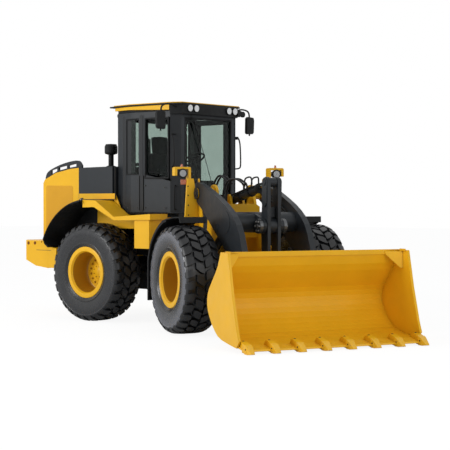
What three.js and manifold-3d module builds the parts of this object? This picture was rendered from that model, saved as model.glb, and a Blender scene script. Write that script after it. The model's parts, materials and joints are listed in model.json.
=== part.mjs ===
// Articulated wheel loader with a Z-bar bucket linkage, as separate sub-parts.
// Millimetres. +X runs forward along the rear half, +Y to the machine's left, +Z up.
// The rear half is drawn straight; the front half is turned about the centre pivot.

import * as THREE from 'three';
import { mergeVertices } from 'three/addons/utils/BufferGeometryUtils.js';
import Module from 'manifold-3d';

const wasm = await Module();
wasm.setup();

// ---------------------------------------------------------------- driving dimensions

// stance
const WHEELBASE = 2850;
const TRACK = 1930;
const STEER_AT_REST = -25;
const AXLE_Z = 745;
const REAR_AXLE_X = -WHEELBASE / 2;
const FRONT_AXLE_X = WHEELBASE / 2;
const WHEEL_Y = TRACK / 2;
const SIDES = [['right', -1], ['left', 1]];

// a place in the front half's side plane, measured from the front axle
const front = (x, z) => [FRONT_AXLE_X + x, z];

// clearances
const SEAT_GAP = 0.3;
const BORE_GAP = 0.4;
const RUN_GAP = 6;

// flat sides of a round pin, and of a wheel
const PIN_SIDES = 16;
const WHEEL_SEGMENTS = 40;

// wheels
const TYRE_RADIUS = 745;
const TYRE_WIDTH = 520;
const RIM_RADIUS = 330;
const RIM_WIDTH = 440;
const RIM_FLANGE = 35;
const RIM_PLATE = 12;
const DISC_OFFSET = -100;
const DISC_PLATE = 22;
const STUB_RADIUS = 105;

// chassis
const REAR_BEAM_Y = 250;
const FRONT_BEAM_Y = 310;
const BEAM_PLATE = 30;
const TOWER_PLATE = 40;
const DECK_Z = 1250;
const DECK_Y = 600;
const DECK_REAR_X = REAR_AXLE_X - 985;
const FRAME_REAR_X = REAR_AXLE_X - 1275;
const NOSE_Y = 180;
const NOSE_START = 160;
const EAR_RADIUS = 120;
const EAR_PLATE = 40;
const PIVOT_PIN = 40;
const AXLE_SEAT_Z = 985;

// rear body
const HOOD_Y = 750;
const HOOD_WALL = 20;
const HOOD_SPLIT_X = REAR_AXLE_X - 625;
const HOOD_FRONT_X = -1300;
const HOOD_REAR_X = REAR_AXLE_X - 1470;
const COUNTERWEIGHT_REAR_X = REAR_AXLE_X - 1675;
const COUNTERWEIGHT_TOP = 1200;
const COUNTERWEIGHT_Y = 1080;
const ARCH_RADIUS = 1100;
const FENDER_Y = WHEEL_Y + 205;
const FENDER_PLATE = 25;
const WALKWAY_Y = 1100;
const WALKWAY_INNER_Y = 735;

// cab
const CAB_FLOOR_Z = 1640;
const CAB_TOP_Z = 3150;
const CAB_WALL = 50;
const ROOF_THICKNESS = 130;
const SILL_Z = 2150;
const GLASS = 8;
const CAB_BASE_Y = 560;

// boom and linkage, in the front half's own side plane
const BOOM_PIVOT = front(-545, 1930);
const BUCKET_HINGE = front(1425, 360);
const BELLCRANK_PIVOT = front(710, 1480);
const BELLCRANK_FOOT = front(727, 560);
const BELLCRANK_HEAD = front(740, 2072);
const LINK_LUG = front(1435, 590);
const TILT_BASE = front(-453, 1854);
const LIFT_BASE = front(-805, 720);
const LIFT_EYE = front(125, 1450);
const CROSS_TUBE = front(425, 1530);
const CROSS_TUBE_RADIUS = 140;
const BOOM_INNER_Y = 466;
const BOOM_PLATE = 84;
const LIFT_Y = 395;
const PIN_RADIUS = 45;
const SMALL_PIN = 35;
const LINK_PIN = 32;
const LINK_CAP = 50;
const BUCKET_PIN = 42;
const BUCKET_CAP = 70;
const LUG_PLATE = 34;

// steering cylinders, in plan
const STEER_BASE = [-850, 400];
const STEER_EYE = [250, 330];
const STEER_Z = 800;

// bucket
const BUCKET_HALF = 1275;
const BUCKET_SHELL = 20;
const BUCKET_SIDE = 25;
const TOOTH_COUNT = 8;
const TOOTH_WIDTH = 90;

// ---------------------------------------------------------------- finishes

const finish = (color, roughness, metalness) =>
  new THREE.MeshStandardMaterial({ color, roughness, metalness });

const YELLOW = finish(0xf2b705, 0.4, 0.1);
const CHARCOAL = finish(0x3a3c3f, 0.5, 0.2);
const BLACK = finish(0x18191a, 0.7, 0.0);
const RUBBER = finish(0x222324, 0.9, 0.0);
const STEEL = finish(0xb9bcc0, 0.3, 0.9);
const GLAZING = finish(0x9fb8ad, 0.05, 0.0);
const UPHOLSTERY = finish(0x2b2c30, 0.9, 0.0);

// ---------------------------------------------------------------- shape helpers

const rad = THREE.MathUtils.degToRad;

function solid(geometry) {
  const bare = geometry.clone();
  bare.deleteAttribute('normal');
  bare.deleteAttribute('uv');
  const merged = mergeVertices(bare, 1e-3);
  return new wasm.Manifold(new wasm.Mesh({
    numProp: 3,
    vertProperties: new Float32Array(merged.attributes.position.array),
    triVerts: new Uint32Array(merged.index.array),
  }));
}

function geometryOf(manifold) {
  const mesh = manifold.getMesh();
  const geometry = new THREE.BufferGeometry();
  geometry.setAttribute('position', new THREE.BufferAttribute(mesh.vertProperties, 3));
  geometry.setIndex(new THREE.BufferAttribute(mesh.triVerts, 1));
  return geometry;
}

const join = (...parts) =>
  geometryOf(parts.map(solid).reduce((whole, part) => whole.add(part)));

const cut = (body, ...tools) =>
  geometryOf(tools.map(solid).reduce((whole, tool) => whole.subtract(tool), solid(body)));

const overlap = (first, second) => geometryOf(solid(first).intersect(solid(second)));

const mirrored = (geometry, side) => (side > 0 ? geometry : cut(mirrorY(geometry)));

function mirrorY(geometry) {
  const flipped = geometry.index ? geometry.toNonIndexed() : geometry.clone();
  const p = flipped.attributes.position.array;
  for (let i = 0; i < p.length; i += 9) {
    [p[i], p[i + 3]] = [p[i + 3], p[i]];
    [p[i + 1], p[i + 4]] = [p[i + 4], p[i + 1]];
    [p[i + 2], p[i + 5]] = [p[i + 5], p[i + 2]];
    for (let k = 1; k < 9; k += 3) p[i + k] *= -1;
  }
  return flipped;
}

function box(x0, x1, y0, y1, z0, z1) {
  const geometry = new THREE.BoxGeometry(x1 - x0, y1 - y0, z1 - z0);
  return geometry.translate((x0 + x1) / 2, (y0 + y1) / 2, (z0 + z1) / 2);
}

const outline = (points) => new THREE.Shape(points.map(([u, v]) => new THREE.Vector2(u, v)));

function extrude(shape, depth) {
  return new THREE.ExtrudeGeometry(shape, { depth, bevelEnabled: false });
}

// outline in X and Z, thickness along Y
function plateXZ(points, y0, y1) {
  return extrude(outline(points), y1 - y0).rotateX(Math.PI / 2).translate(0, y1, 0);
}

// outline in X and Y, thickness along Z
const plateXY = (points, z0, z1) => extrude(outline(points), z1 - z0).translate(0, 0, z0);

function rod(from, to, radius, segments = PIN_SIDES, twist = 0) {
  const start = new THREE.Vector3(...from);
  const run = new THREE.Vector3(...to).sub(start);
  const geometry = new THREE.CylinderGeometry(radius, radius, run.length(), segments).rotateY(twist);
  const turn = new THREE.Quaternion().setFromUnitVectors(
    new THREE.Vector3(0, 1, 0), run.clone().normalize());
  return geometry.applyQuaternion(turn).translate(...start.addScaledVector(run, 0.5).toArray());
}

const pinY = ([x, z], radius, y0, y1, segments = PIN_SIDES) =>
  rod([x, y0, z], [x, y1, z], radius, segments);

const pinZ = ([x, y], radius, z0, z1, segments = PIN_SIDES) =>
  rod([x, y, z0], [x, y, z1], radius, segments);

// radius of a faceted hole that a faceted pin can turn in
const boreFor = (pin, sides = PIN_SIDES) => (pin + BORE_GAP) / Math.cos(Math.PI / sides);

const boreY = ([x, z], pin, reach) =>
  rod([x, -reach, z], [x, reach, z], boreFor(pin), PIN_SIDES, Math.PI / PIN_SIDES);

const boreZ = ([x, y], pin, z0, z1) =>
  rod([x, y, z0], [x, y, z1], boreFor(pin), PIN_SIDES, Math.PI / PIN_SIDES);

function hose(points, radius, steps = 14) {
  const path = new THREE.CatmullRomCurve3(points.map((p) => new THREE.Vector3(...p)));
  const section = new THREE.Shape().absarc(0, 0, radius, 0, 2 * Math.PI);
  return new THREE.ExtrudeGeometry(section, { steps, extrudePath: path, curveSegments: 4 });
}

function arc([cx, cy], radius, from, to, steps) {
  return Array.from({ length: steps + 1 }, (_, i) => {
    const angle = rad(from + ((to - from) * i) / steps);
    return [cx + radius * Math.cos(angle), cy + radius * Math.sin(angle)];
  });
}

const smooth = (points, steps) =>
  new THREE.SplineCurve(points.map(([u, v]) => new THREE.Vector2(u, v)))
    .getPoints(steps).map((p) => [p.x, p.y]);

// outline of two circles and the straight sides that touch both
function taper([x0, z0], r0, [x1, z1], r1, steps = 7) {
  const length = Math.hypot(x1 - x0, z1 - z0);
  const heading = THREE.MathUtils.radToDeg(Math.atan2(z1 - z0, x1 - x0));
  const lean = THREE.MathUtils.radToDeg(Math.acos((r0 - r1) / length));
  return [
    ...arc([x0, z0], r0, heading + lean, heading + 360 - lean, steps),
    ...arc([x1, z1], r1, heading - lean, heading + lean, steps),
  ];
}

// points of a line moved sideways by a distance, to the left of its direction
function offset(points, distance) {
  return points.map((point, i) => {
    const before = points[Math.max(i - 1, 0)];
    const after = points[Math.min(i + 1, points.length - 1)];
    const run = Math.hypot(after[0] - before[0], after[1] - before[1]);
    const normal = [-(after[1] - before[1]) / run, (after[0] - before[0]) / run];
    return [point[0] + normal[0] * distance, point[1] + normal[1] * distance];
  });
}

// a bent plate: a line with a thickness to its left
const strip = (points, thickness) => [...points, ...offset(points, thickness).reverse()];

function revolveY(profile, y0, segments) {
  const points = profile.map(([r, y]) => new THREE.Vector2(r, y));
  const half = Math.PI / segments;
  return new THREE.LatheGeometry(points, segments).rotateY(half).translate(0, y0, 0);
}

function part(name, geometry, material) {
  const mesh = new THREE.Mesh(geometry, material);
  mesh.name = name;
  return mesh;
}

const group = (...children) => new THREE.Group().add(...children);

// ---------------------------------------------------------------- wheels and axles

function tyreGeometry(side) {
  const half = TYRE_WIDTH / 2;
  const bead = RIM_RADIUS + SEAT_GAP;
  const beadHalf = RIM_WIDTH / 2 - RIM_PLATE - SEAT_GAP;
  const shoulder = TYRE_RADIUS - 45;
  const profile = [
    [bead, -beadHalf], [bead + RIM_FLANGE + 12, -beadHalf], [bead + 110, -half + 12],
    [shoulder - 130, -half], [shoulder, -half + 24], [TYRE_RADIUS, -half + 90],
  ];
  const far = profile.map(([r, y]) => [r, -y]).reverse();
  return mirrored(closedRing([...profile, ...far], WHEEL_SEGMENTS), side);
}

function closedRing(profile, segments) {
  return revolveY([...profile, profile[0]], 0, segments);
}

function rimGeometry(side) {
  const half = RIM_WIDTH / 2;
  const inner = RIM_RADIUS - RIM_PLATE;
  const hub = boreFor(STUB_RADIUS, WHEEL_SEGMENTS);
  const flange = RIM_RADIUS + RIM_FLANGE;
  const profile = [
    [RIM_RADIUS, -half + RIM_PLATE], [flange, -half + RIM_PLATE], [flange, -half],
    [inner, -half], [inner, DISC_OFFSET], [hub, DISC_OFFSET],
    [hub, DISC_OFFSET + DISC_PLATE], [inner, DISC_OFFSET + DISC_PLATE], [inner, half],
    [flange, half], [flange, half - RIM_PLATE], [RIM_RADIUS, half - RIM_PLATE],
  ];
  return mirrored(closedRing(profile.reverse(), WHEEL_SEGMENTS), side);
}

function wheel(end, sideName, side, axleX) {
  const tyre = part(`tyre_${end}_${sideName}`, tyreGeometry(side), RUBBER);
  const rim = part(`rim_${end}_${sideName}`, rimGeometry(side), YELLOW);
  const both = group(tyre, rim);
  both.position.set(axleX, side * WHEEL_Y, AXLE_Z);
  return both;
}

function axleGeometry(axleX, beamY) {
  const drumRadius = 195;
  const tubeRadius = 110;
  const ball = 215;
  const drumIn = WHEEL_Y - TYRE_WIDTH / 2 - 110;
  const drumOut = WHEEL_Y + DISC_OFFSET - RUN_GAP - 10;
  const stubOut = WHEEL_Y + DISC_OFFSET + DISC_PLATE + 45;
  const halfProfile = [
    [0, 0], [ball, 0], [ball * 0.92, 110], [tubeRadius, 240], [tubeRadius, drumIn],
    [drumRadius, drumIn + 50], [drumRadius, drumOut], [STUB_RADIUS, drumOut],
    [STUB_RADIUS, stubOut], [0, stubOut],
  ];
  const left = revolveY(halfProfile, 0, 20);
  const saddles = SIDES.map(([, side]) => {
    const y = side * (beamY - BEAM_PLATE / 2);
    return box(-90, 90, y - 45, y + 45, 0, AXLE_SEAT_Z - SEAT_GAP - AXLE_Z);
  });
  return join(left, mirrorY(left), ...saddles).translate(axleX, 0, AXLE_Z);
}

// ---------------------------------------------------------------- rear half: chassis

const LOWER_FORK = 520;
const UPPER_FORK = 1100;
const FORK_PITCH = 2 * EAR_PLATE + 2 * RUN_GAP + EAR_PLATE;

function ear(direction, z0) {
  const root = direction * (NOSE_START + 40);
  const side = arc([0, 0], EAR_RADIUS, -90, 90, 14).map(([x, y]) => [-direction * x, y]);
  return plateXY([[root, -NOSE_Y], ...side, [root, NOSE_Y]], z0, z0 + EAR_PLATE);
}

function rearFrame() {
  const plates = SIDES.map(([, side]) => {
    const y = side * REAR_BEAM_Y;
    const points = [
      [FRAME_REAR_X, DECK_Z], [FRAME_REAR_X, AXLE_SEAT_Z], [-1000, AXLE_SEAT_Z],
      [-930, 620], [-500, 620], [-500, DECK_Z],
    ];
    return plateXZ(points, Math.min(y, y - side * BEAM_PLATE), Math.max(y, y - side * BEAM_PLATE));
  });
  const deck = box(DECK_REAR_X + SEAT_GAP, -500, -DECK_Y, DECK_Y, DECK_Z - 40, DECK_Z);
  const tail = box(FRAME_REAR_X, DECK_REAR_X + 20, -REAR_BEAM_Y, REAR_BEAM_Y, DECK_Z - 40, DECK_Z);
  const belly = box(-1060, -760, -480, 480, 480, 745);
  const bellyWeb = box(-1060, -760, -REAR_BEAM_Y, REAR_BEAM_Y, 700, 900);
  const noseTop = UPPER_FORK + FORK_PITCH;
  const nose = box(-540, -NOSE_START, -NOSE_Y, NOSE_Y, LOWER_FORK, noseTop);
  const pocket = box(-600, -NOSE_START - 50, -NOSE_Y + 40, NOSE_Y - 40, LOWER_FORK + 60, UPPER_FORK);
  const bulkhead = box(-540, -500, -REAR_BEAM_Y, REAR_BEAM_Y, 620, DECK_Z);
  const ears = [LOWER_FORK, UPPER_FORK].flatMap((z) =>
    [ear(-1, z), ear(-1, z + FORK_PITCH - EAR_PLATE)]);
  const pins = [LOWER_FORK, UPPER_FORK].map((z) =>
    pinZ([0, 0], PIVOT_PIN, z - 10, z + FORK_PITCH + 10));
  const pedestal = box(-1190, -230, -NOSE_Y, NOSE_Y, DECK_Z - 10, 1420);
  const cabBase = box(-1190, -90, -CAB_BASE_Y, CAB_BASE_Y, 1400, CAB_FLOOR_Z - SEAT_GAP);
  const steerLugs = SIDES.flatMap(([, side]) => steerClevis(STEER_BASE, side, REAR_BEAM_Y - 15));
  return cut(join(...plates, deck, tail, bulkhead, belly, bellyWeb, nose, ...ears, ...pins,
    pedestal, cabBase, ...steerLugs), pocket);
}

// two horizontal lugs and the upright pin that hold one end of a steering cylinder
function steerClevis([x, y], side, rootY) {
  const gap = 45;
  const lug = 22;
  const reach = side > 0 ? [rootY, y + 45] : [-y - 45, -rootY];
  return [
    box(x - 50, x + 50, ...reach, STEER_Z - gap - lug, STEER_Z - gap),
    box(x - 50, x + 50, ...reach, STEER_Z + gap, STEER_Z + gap + lug),
    pinZ([x, side * y], 24, STEER_Z - gap - lug - 8, STEER_Z + gap + lug + 8),
  ];
}

function counterweight() {
  const body = plateXZ([
    [COUNTERWEIGHT_REAR_X, COUNTERWEIGHT_TOP], [COUNTERWEIGHT_REAR_X, 1050],
    [COUNTERWEIGHT_REAR_X + 140, 900], [FRAME_REAR_X, 800],
    [DECK_REAR_X, 770], [DECK_REAR_X, COUNTERWEIGHT_TOP],
  ], -COUNTERWEIGHT_Y, COUNTERWEIGHT_Y);
  const y = REAR_BEAM_Y + SEAT_GAP;
  const pocket = box(FRAME_REAR_X - SEAT_GAP, DECK_REAR_X + 110, -y, y,
    AXLE_SEAT_Z - SEAT_GAP, COUNTERWEIGHT_TOP + 200);
  const corners = SIDES.map(([, side]) => {
    const edge = COUNTERWEIGHT_Y + 1;
    const end = COUNTERWEIGHT_REAR_X - 1;
    const points = [[end, side * (edge - 170)], [end + 171, side * edge], [end, side * edge]];
    return plateXY(side > 0 ? points : points.reverse(), 600, COUNTERWEIGHT_TOP + 100);
  });
  return cut(body, pocket, ...corners);
}

// ---------------------------------------------------------------- rear half: body

const HOOD_TOP = [
  [HOOD_REAR_X, 2110], [HOOD_REAR_X + 40, 2165], [HOOD_REAR_X + 298, 2267],
  [HOOD_REAR_X + 636, 2325], [HOOD_SPLIT_X, 2340], [HOOD_FRONT_X, 2350],
];

function hoodTopZ(x) {
  const next = Math.max(HOOD_TOP.findIndex(([px]) => px >= x), 1);
  const [x0, z0] = HOOD_TOP[next - 1];
  const [x1, z1] = HOOD_TOP[next];
  return z0 + ((z1 - z0) * (x - x0)) / (x1 - x0);
}

function wheelArch(radius, y0, y1) {
  return pinY([REAR_AXLE_X, AXLE_Z], radius, y0, y1, 96);
}

// the hood's side outline between two places along it, moved inward by a wall
function hoodSection(x0, x1, bottom, wall = 0) {
  return [
    [x0 + wall, bottom], [x0 + wall, hoodTopZ(x0) - wall],
    ...HOOD_TOP.filter(([x]) => x > x0 && x < x1).map(([x, z]) => [x, z - wall]),
    [x1, hoodTopZ(x1) - wall], [x1, bottom],
  ];
}

function hoodRear() {
  const bottom = COUNTERWEIGHT_TOP + SEAT_GAP;
  const joint = HOOD_SPLIT_X - SEAT_GAP;
  const outer = hoodSection(HOOD_REAR_X, joint, bottom);
  const within = HOOD_Y - HOOD_WALL;
  const hollow = hoodSection(HOOD_REAR_X, joint, bottom - 50, HOOD_WALL)
    .map(([x, z]) => [x === joint ? joint + 100 : x, z]);
  const grille = box(HOOD_REAR_X - 50, HOOD_REAR_X + 60, -GRILLE_Y, GRILLE_Y, GRILLE_Z0, GRILLE_Z1);
  const arches = SIDES.map(([, side]) => (side > 0
    ? wheelArch(ARCH_RADIUS + 8, DECK_Y, HOOD_Y + 50)
    : wheelArch(ARCH_RADIUS + 8, -HOOD_Y - 50, -DECK_Y)));
  return cut(plateXZ(outer, -HOOD_Y, HOOD_Y), plateXZ(hollow, -within, within), grille, ...arches);
}

function hoodFront() {
  const bottom = AXLE_Z + ARCH_RADIUS + 8;
  const outer = hoodSection(HOOD_SPLIT_X, HOOD_FRONT_X, bottom);
  const within = HOOD_Y - HOOD_WALL;
  const hollow = [
    [HOOD_SPLIT_X - 50, bottom - 50], [HOOD_SPLIT_X - 50, hoodTopZ(HOOD_SPLIT_X) - HOOD_WALL],
    [HOOD_FRONT_X - HOOD_WALL, hoodTopZ(HOOD_FRONT_X) - HOOD_WALL],
    [HOOD_FRONT_X - HOOD_WALL, bottom - 50],
  ];
  const shell = cut(plateXZ(outer, -HOOD_Y, HOOD_Y), plateXZ(hollow, -within, within));
  const leg = box(HOOD_FRONT_X - HOOD_WALL, HOOD_FRONT_X, -400, 400, DECK_Z + SEAT_GAP, bottom + 20);
  return join(shell, leg);
}

const GRILLE_Y = 600;
const GRILLE_Z0 = 1330;
const GRILLE_Z1 = 2060;

function rearGrille() {
  const y = GRILLE_Y - SEAT_GAP;
  const z0 = GRILLE_Z0 + SEAT_GAP;
  const z1 = GRILLE_Z1 - SEAT_GAP;
  const rim = 35;
  const frame = cut(
    box(HOOD_REAR_X, HOOD_REAR_X + 30, -y, y, z0, z1),
    box(HOOD_REAR_X - 5, HOOD_REAR_X + 40, -y + rim, y - rim, z0 + rim, z1 - rim));
  const count = 9;
  const pitch = (z1 - z0 - 2 * rim) / (count + 1);
  const slats = Array.from({ length: count }, (_, i) => {
    const z = z0 + rim + pitch * (i + 1);
    return box(HOOD_REAR_X + 6, HOOD_REAR_X + 26, -y + rim - 5, y - rim + 5, z - 9, z + 9);
  });
  return join(frame, ...slats);
}

function hoodRail(side) {
  const start = HOOD_REAR_X + 15;
  const end = HOOD_SPLIT_X + 30;
  const top = smooth([[start, 2195], [start + 76, 2299], [start + 398, 2408], [start + 754, 2457],
    [end, 2375 + SEAT_GAP]], 18);
  const foot = HOOD_TOP.filter(([x]) => x > start && x < end).reverse();
  const base = [[end, hoodTopZ(end)], ...foot, [start, hoodTopZ(start)]];
  const raised = base.map(([x, z]) => [x, z + SEAT_GAP]);
  const y = side * (HOOD_Y - 50);
  const plate = plateXZ([...top, ...raised], y - 16, y + 16);
  const windows = [[140, 280], [320, 510], [550, 730]].map((span) => {
    const [x0, x1] = span.map((along) => start + along);
    const low = hoodTopZ(x0) + 32;
    const high = 60 + hoodTopZ(x1);
    return plateXZ([[x0, low], [x0, high - 12], [x1, high + 18], [x1, hoodTopZ(x1) + 32]].reverse(),
      y - 30, y + 30);
  });
  return cut(plate, ...windows);
}

function precleaner() {
  const x = -1743;
  const z = hoodTopZ(x + 75) + SEAT_GAP;
  const profile = [
    [0, 0], [75, 0], [75, 22], [42, 34], [42, 200], [96, 218], [102, 240], [102, 330],
    [84, 368], [0, 374],
  ];
  return new THREE.LatheGeometry(profile.map(([r, h]) => new THREE.Vector2(r, h)), 24)
    .rotateX(Math.PI / 2).translate(x, -350, z);
}

function exhaustStack() {
  const [x, y] = [-1640, 360];
  const z = hoodTopZ(x + 80) + SEAT_GAP;
  const body = join(
    pinZ([x, y], 80, z, z + 20), pinZ([x, y], 52, z, z + 470),
  );
  return cut(body, pinZ([x, y], 44, z + 40, z + 600));
}

function engine() {
  return join(
    box(HOOD_REAR_X + 395, HOOD_FRONT_X - 200, -280, 280, DECK_Z + 40, 1900),
    box(HOOD_REAR_X + 545, HOOD_FRONT_X - 350, -240, 240, DECK_Z + SEAT_GAP, DECK_Z + 60));
}

const FENDER_FRONT_X = -1590;

function rearFender(side) {
  const centre = [REAR_AXLE_X, AXLE_Z];
  const inner = ARCH_RADIUS - FENDER_PLATE;
  const angleAt = (radius) =>
    THREE.MathUtils.radToDeg(Math.acos((FENDER_FRONT_X - REAR_AXLE_X) / radius));
  const band = [
    ...arc(centre, ARCH_RADIUS, angleAt(ARCH_RADIUS), 154, 16),
    ...arc(centre, inner, 154, angleAt(inner), 16),
  ];
  const y0 = DECK_Y + SEAT_GAP;
  const crown = plateXZ(band, y0, FENDER_Y);
  const wellRadius = ARCH_RADIUS - 2;
  const wellStart = THREE.MathUtils.radToDeg(Math.acos((HOOD_FRONT_X - REAR_AXLE_X) / wellRadius));
  const wellTop = arc(centre, wellRadius, wellStart, 154, 14);
  const well = plateXZ([...wellTop, [wellTop.at(-1)[0], DECK_Z - 40], [HOOD_FRONT_X, DECK_Z - 40]],
    y0, y0 + FENDER_PLATE);
  return mirrored(join(crown, well), side);
}

function walkway(side) {
  const tread = plateXZ([
    [FENDER_FRONT_X + SEAT_GAP, 1723], [-1344, 1731], [-910, 1533], [-155, 1547], [-155, 1631],
    [-910, 1586], [-1305, 1825], [FENDER_FRONT_X + SEAT_GAP, 1839],
  ], WALKWAY_INNER_Y, WALKWAY_Y);
  const beam = box(-850, -200, CAB_BASE_Y + SEAT_GAP, WALKWAY_INNER_Y + 30, 1545, 1580);
  if (side < 0) {
    const locker = box(-506, -204, WALKWAY_INNER_Y + 20, WALKWAY_Y - 30, 1125, 1560);
    return mirrored(join(tread, beam, locker), side);
  }
  const stiles = [-600, -180].map((x) => box(x, x + 25, WALKWAY_Y - 150, WALKWAY_Y - 10, 440, 1560));
  const steps = [440, 800, 1160].map((z) =>
    box(-600, -155, WALKWAY_Y - 150, WALKWAY_Y - 10, z, z + 30));
  return join(tread, beam, ...stiles, ...steps);
}

// ---------------------------------------------------------------- cab

const CAB_FRONT_X = 0;
const CAB_REAR_X = -1280;
const PILLAR_A = [-140, 680];
const PILLAR_B = [-930, 720];
const CAB_CORNER_FRONT = 600;
const CAB_CORNER_REAR = 650;

// half of the cab's plan, from the front centre to the rear centre, moved inward by inset
function cabPlan(inset) {
  const half = [
    [CAB_FRONT_X, CAB_CORNER_FRONT], PILLAR_A, PILLAR_B, [CAB_REAR_X, CAB_CORNER_REAR],
  ];
  const ring = [...half, ...half.map(([x, y]) => [x, -y]).reverse()];
  return insetPolygon(ring, inset);
}

// a convex counter-clockwise polygon with every side moved inward
function insetPolygon(ring, inset) {
  const line = (i) => {
    const [ax, ay] = ring[i % ring.length];
    const [bx, by] = ring[(i + 1) % ring.length];
    const run = Math.hypot(bx - ax, by - ay);
    const normal = [-(by - ay) / run, (bx - ax) / run];
    return { normal, level: normal[0] * ax + normal[1] * ay + inset };
  };
  return ring.map((_, i) => {
    const first = line(i + ring.length - 1);
    const second = line(i);
    const [a, b] = first.normal;
    const [c, d] = second.normal;
    const det = a * d - b * c;
    return [(first.level * d - second.level * b) / det, (a * second.level - c * first.level) / det];
  });
}

const cabPrism = (inset, z0, z1) => plateXY(cabPlan(inset), z0, z1);

const WINDOW_TOP = 3060;
const WINDSCREEN = [-100, 60, -530, 530, 1800, WINDOW_TOP];
const REAR_WINDOW = [-1400, -1200, -480, 480, 2260, WINDOW_TOP];
const RIGHT_WINDOW = [-650, -150, -900, -600, SILL_Z, WINDOW_TOP];
const QUARTERS = [
  [-1060, -765, -900, -600, SILL_Z + 60, WINDOW_TOP],
  [-1190, -990, 600, 900, SILL_Z + 60, WINDOW_TOP],
];
const DOORWAY = [-890, -190, 600, 900, CAB_FLOOR_Z + 60, WINDOW_TOP + 40];
const DOOR_HINGE = [-899, 752];
const DOOR_HINGE_HEIGHTS = [1900, 2850];
const HINGE_PIN = 9;
const HINGE_KNUCKLE = 17;

const grown = ([x0, x1, y0, y1, z0, z1], by) =>
  [x0 - by, x1 + by, y0 - by, y1 + by, z0 - by, z1 + by];

function cabFrame() {
  const shell = cut(
    cabPrism(0, CAB_FLOOR_Z, CAB_TOP_Z), cabPrism(CAB_WALL, CAB_FLOOR_Z + CAB_WALL, CAB_TOP_Z + 100),
    ...[WINDSCREEN, REAR_WINDOW, RIGHT_WINDOW, ...QUARTERS, DOORWAY].map((w) => box(...w)));
  const [x, y] = DOOR_HINGE;
  const hinges = DOOR_HINGE_HEIGHTS.flatMap((z) => [
    box(x - HINGE_KNUCKLE, x - 4, y - 60, y + HINGE_PIN, z - 30, z - 6),
    box(x - HINGE_KNUCKLE, x + HINGE_PIN, y - HINGE_PIN, y + HINGE_PIN, z - 30, z - 6),
    pinZ([x, y], HINGE_PIN, z - 20, z + 60),
  ]);
  return join(shell, ...hinges);
}

function doorLeft() {
  const gap = RUN_GAP;
  const panel = overlap(
    cut(cabPrism(0, CAB_FLOOR_Z, CAB_TOP_Z), cabPrism(CAB_WALL, CAB_FLOOR_Z - 10, CAB_TOP_Z + 10)),
    box(...grown(DOORWAY, -gap)));
  const [x, y] = DOOR_HINGE;
  const knuckles = DOOR_HINGE_HEIGHTS.flatMap((z) => [
    pinZ([x, y], HINGE_KNUCKLE, z, z + 50),
    box(x + 2, x + 70, y - 22, y - 2, z, z + 50),
    box(x + 45, x + 70, y - 50, y - 2, z, z + 50),
  ]);
  const bores = DOOR_HINGE_HEIGHTS.map((z) => boreZ([x, y], HINGE_PIN, z - 10, z + 70));
  return cut(join(panel, ...knuckles), box(...grown(DOOR_WINDOW, 0)), ...bores);
}

const DOOR_WINDOW = [-820, -260, 600, 900, 1900, WINDOW_TOP - 30];

function pane(opening) {
  const layer = cut(
    cabPrism(20, CAB_FLOOR_Z, CAB_TOP_Z), cabPrism(20 + GLASS, CAB_FLOOR_Z - 10, CAB_TOP_Z + 10));
  return overlap(layer, box(...grown(opening, -SEAT_GAP)));
}

function cabRoof() {
  const z0 = CAB_TOP_Z + SEAT_GAP;
  const slab = plateXY(cabPlan(-35), z0, z0 + ROOF_THICKNESS - 30);
  const crown = plateXY(cabPlan(30), z0 + ROOF_THICKNESS - 40, z0 + ROOF_THICKNESS);
  const brow = plateXY([[-60, -560], [80, -520], [80, 520], [-60, 560]], z0, z0 + 85);
  return join(slab, crown, brow);
}

function seat() {
  const floor = CAB_FLOOR_Z + CAB_WALL + SEAT_GAP;
  return join(
    box(-1010, -620, -200, 200, floor, floor + 260),
    box(-1060, -560, -255, 255, floor + 240, floor + 390),
    plateXZ([[-1080, floor + 330], [-960, floor + 330], [-1050, floor + 1010],
      [-1150, floor + 1000]], -240, 240),
  );
}

function steeringColumn() {
  const floor = CAB_FLOOR_Z + CAB_WALL + SEAT_GAP;
  const centre = [-400, 0, floor + 760];
  const ring = new THREE.TorusGeometry(190, 16, 8, 24).rotateY(rad(-28)).translate(...centre);
  const spoke = rod([-400 - 185 * Math.cos(rad(28)), 0, centre[2] - 185 * Math.sin(rad(28))],
    [-400 + 185 * Math.cos(rad(28)), 0, centre[2] + 185 * Math.sin(rad(28))], 14, 12);
  const cross = rod([-400, -188, centre[2]], [-400, 188, centre[2]], 14, 12);
  const column = rod([-160, 0, floor + 50], [-400, 0, centre[2]], 45, 12);
  const foot = box(-230, -90, -90, 90, floor, floor + 60);
  return join(ring, spoke, cross, column, foot);
}

function mirrorArm(side) {
  const top = CAB_TOP_Z + ROOF_THICKNESS + SEAT_GAP * 2;
  const arm = hose([[-380, 560, top + 20], [-300, 640, top + 75], [-120, 820, top + 70],
    [-35, 960, top + 30], [-30, 1000, top - 60], [-30, 1000, 3100]], 14);
  const foot = pinZ([-380, 560], 32, top, top + 34, 20);
  const head = box(-70, -5, 895, 1095, 2860, 3135);
  return mirrored(join(arm, foot, head), side);
}

// ---------------------------------------------------------------- front half: chassis

const A_BOSS = 85;
const CAP_RADIUS = 75;
const PIN_CAP = 20;
const BOOM_OUTER_Y = BOOM_INNER_Y + BOOM_PLATE;

function span(y0, y1, side) {
  return side > 0 ? [y0, y1] : [-y1, -y0];
}

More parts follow.
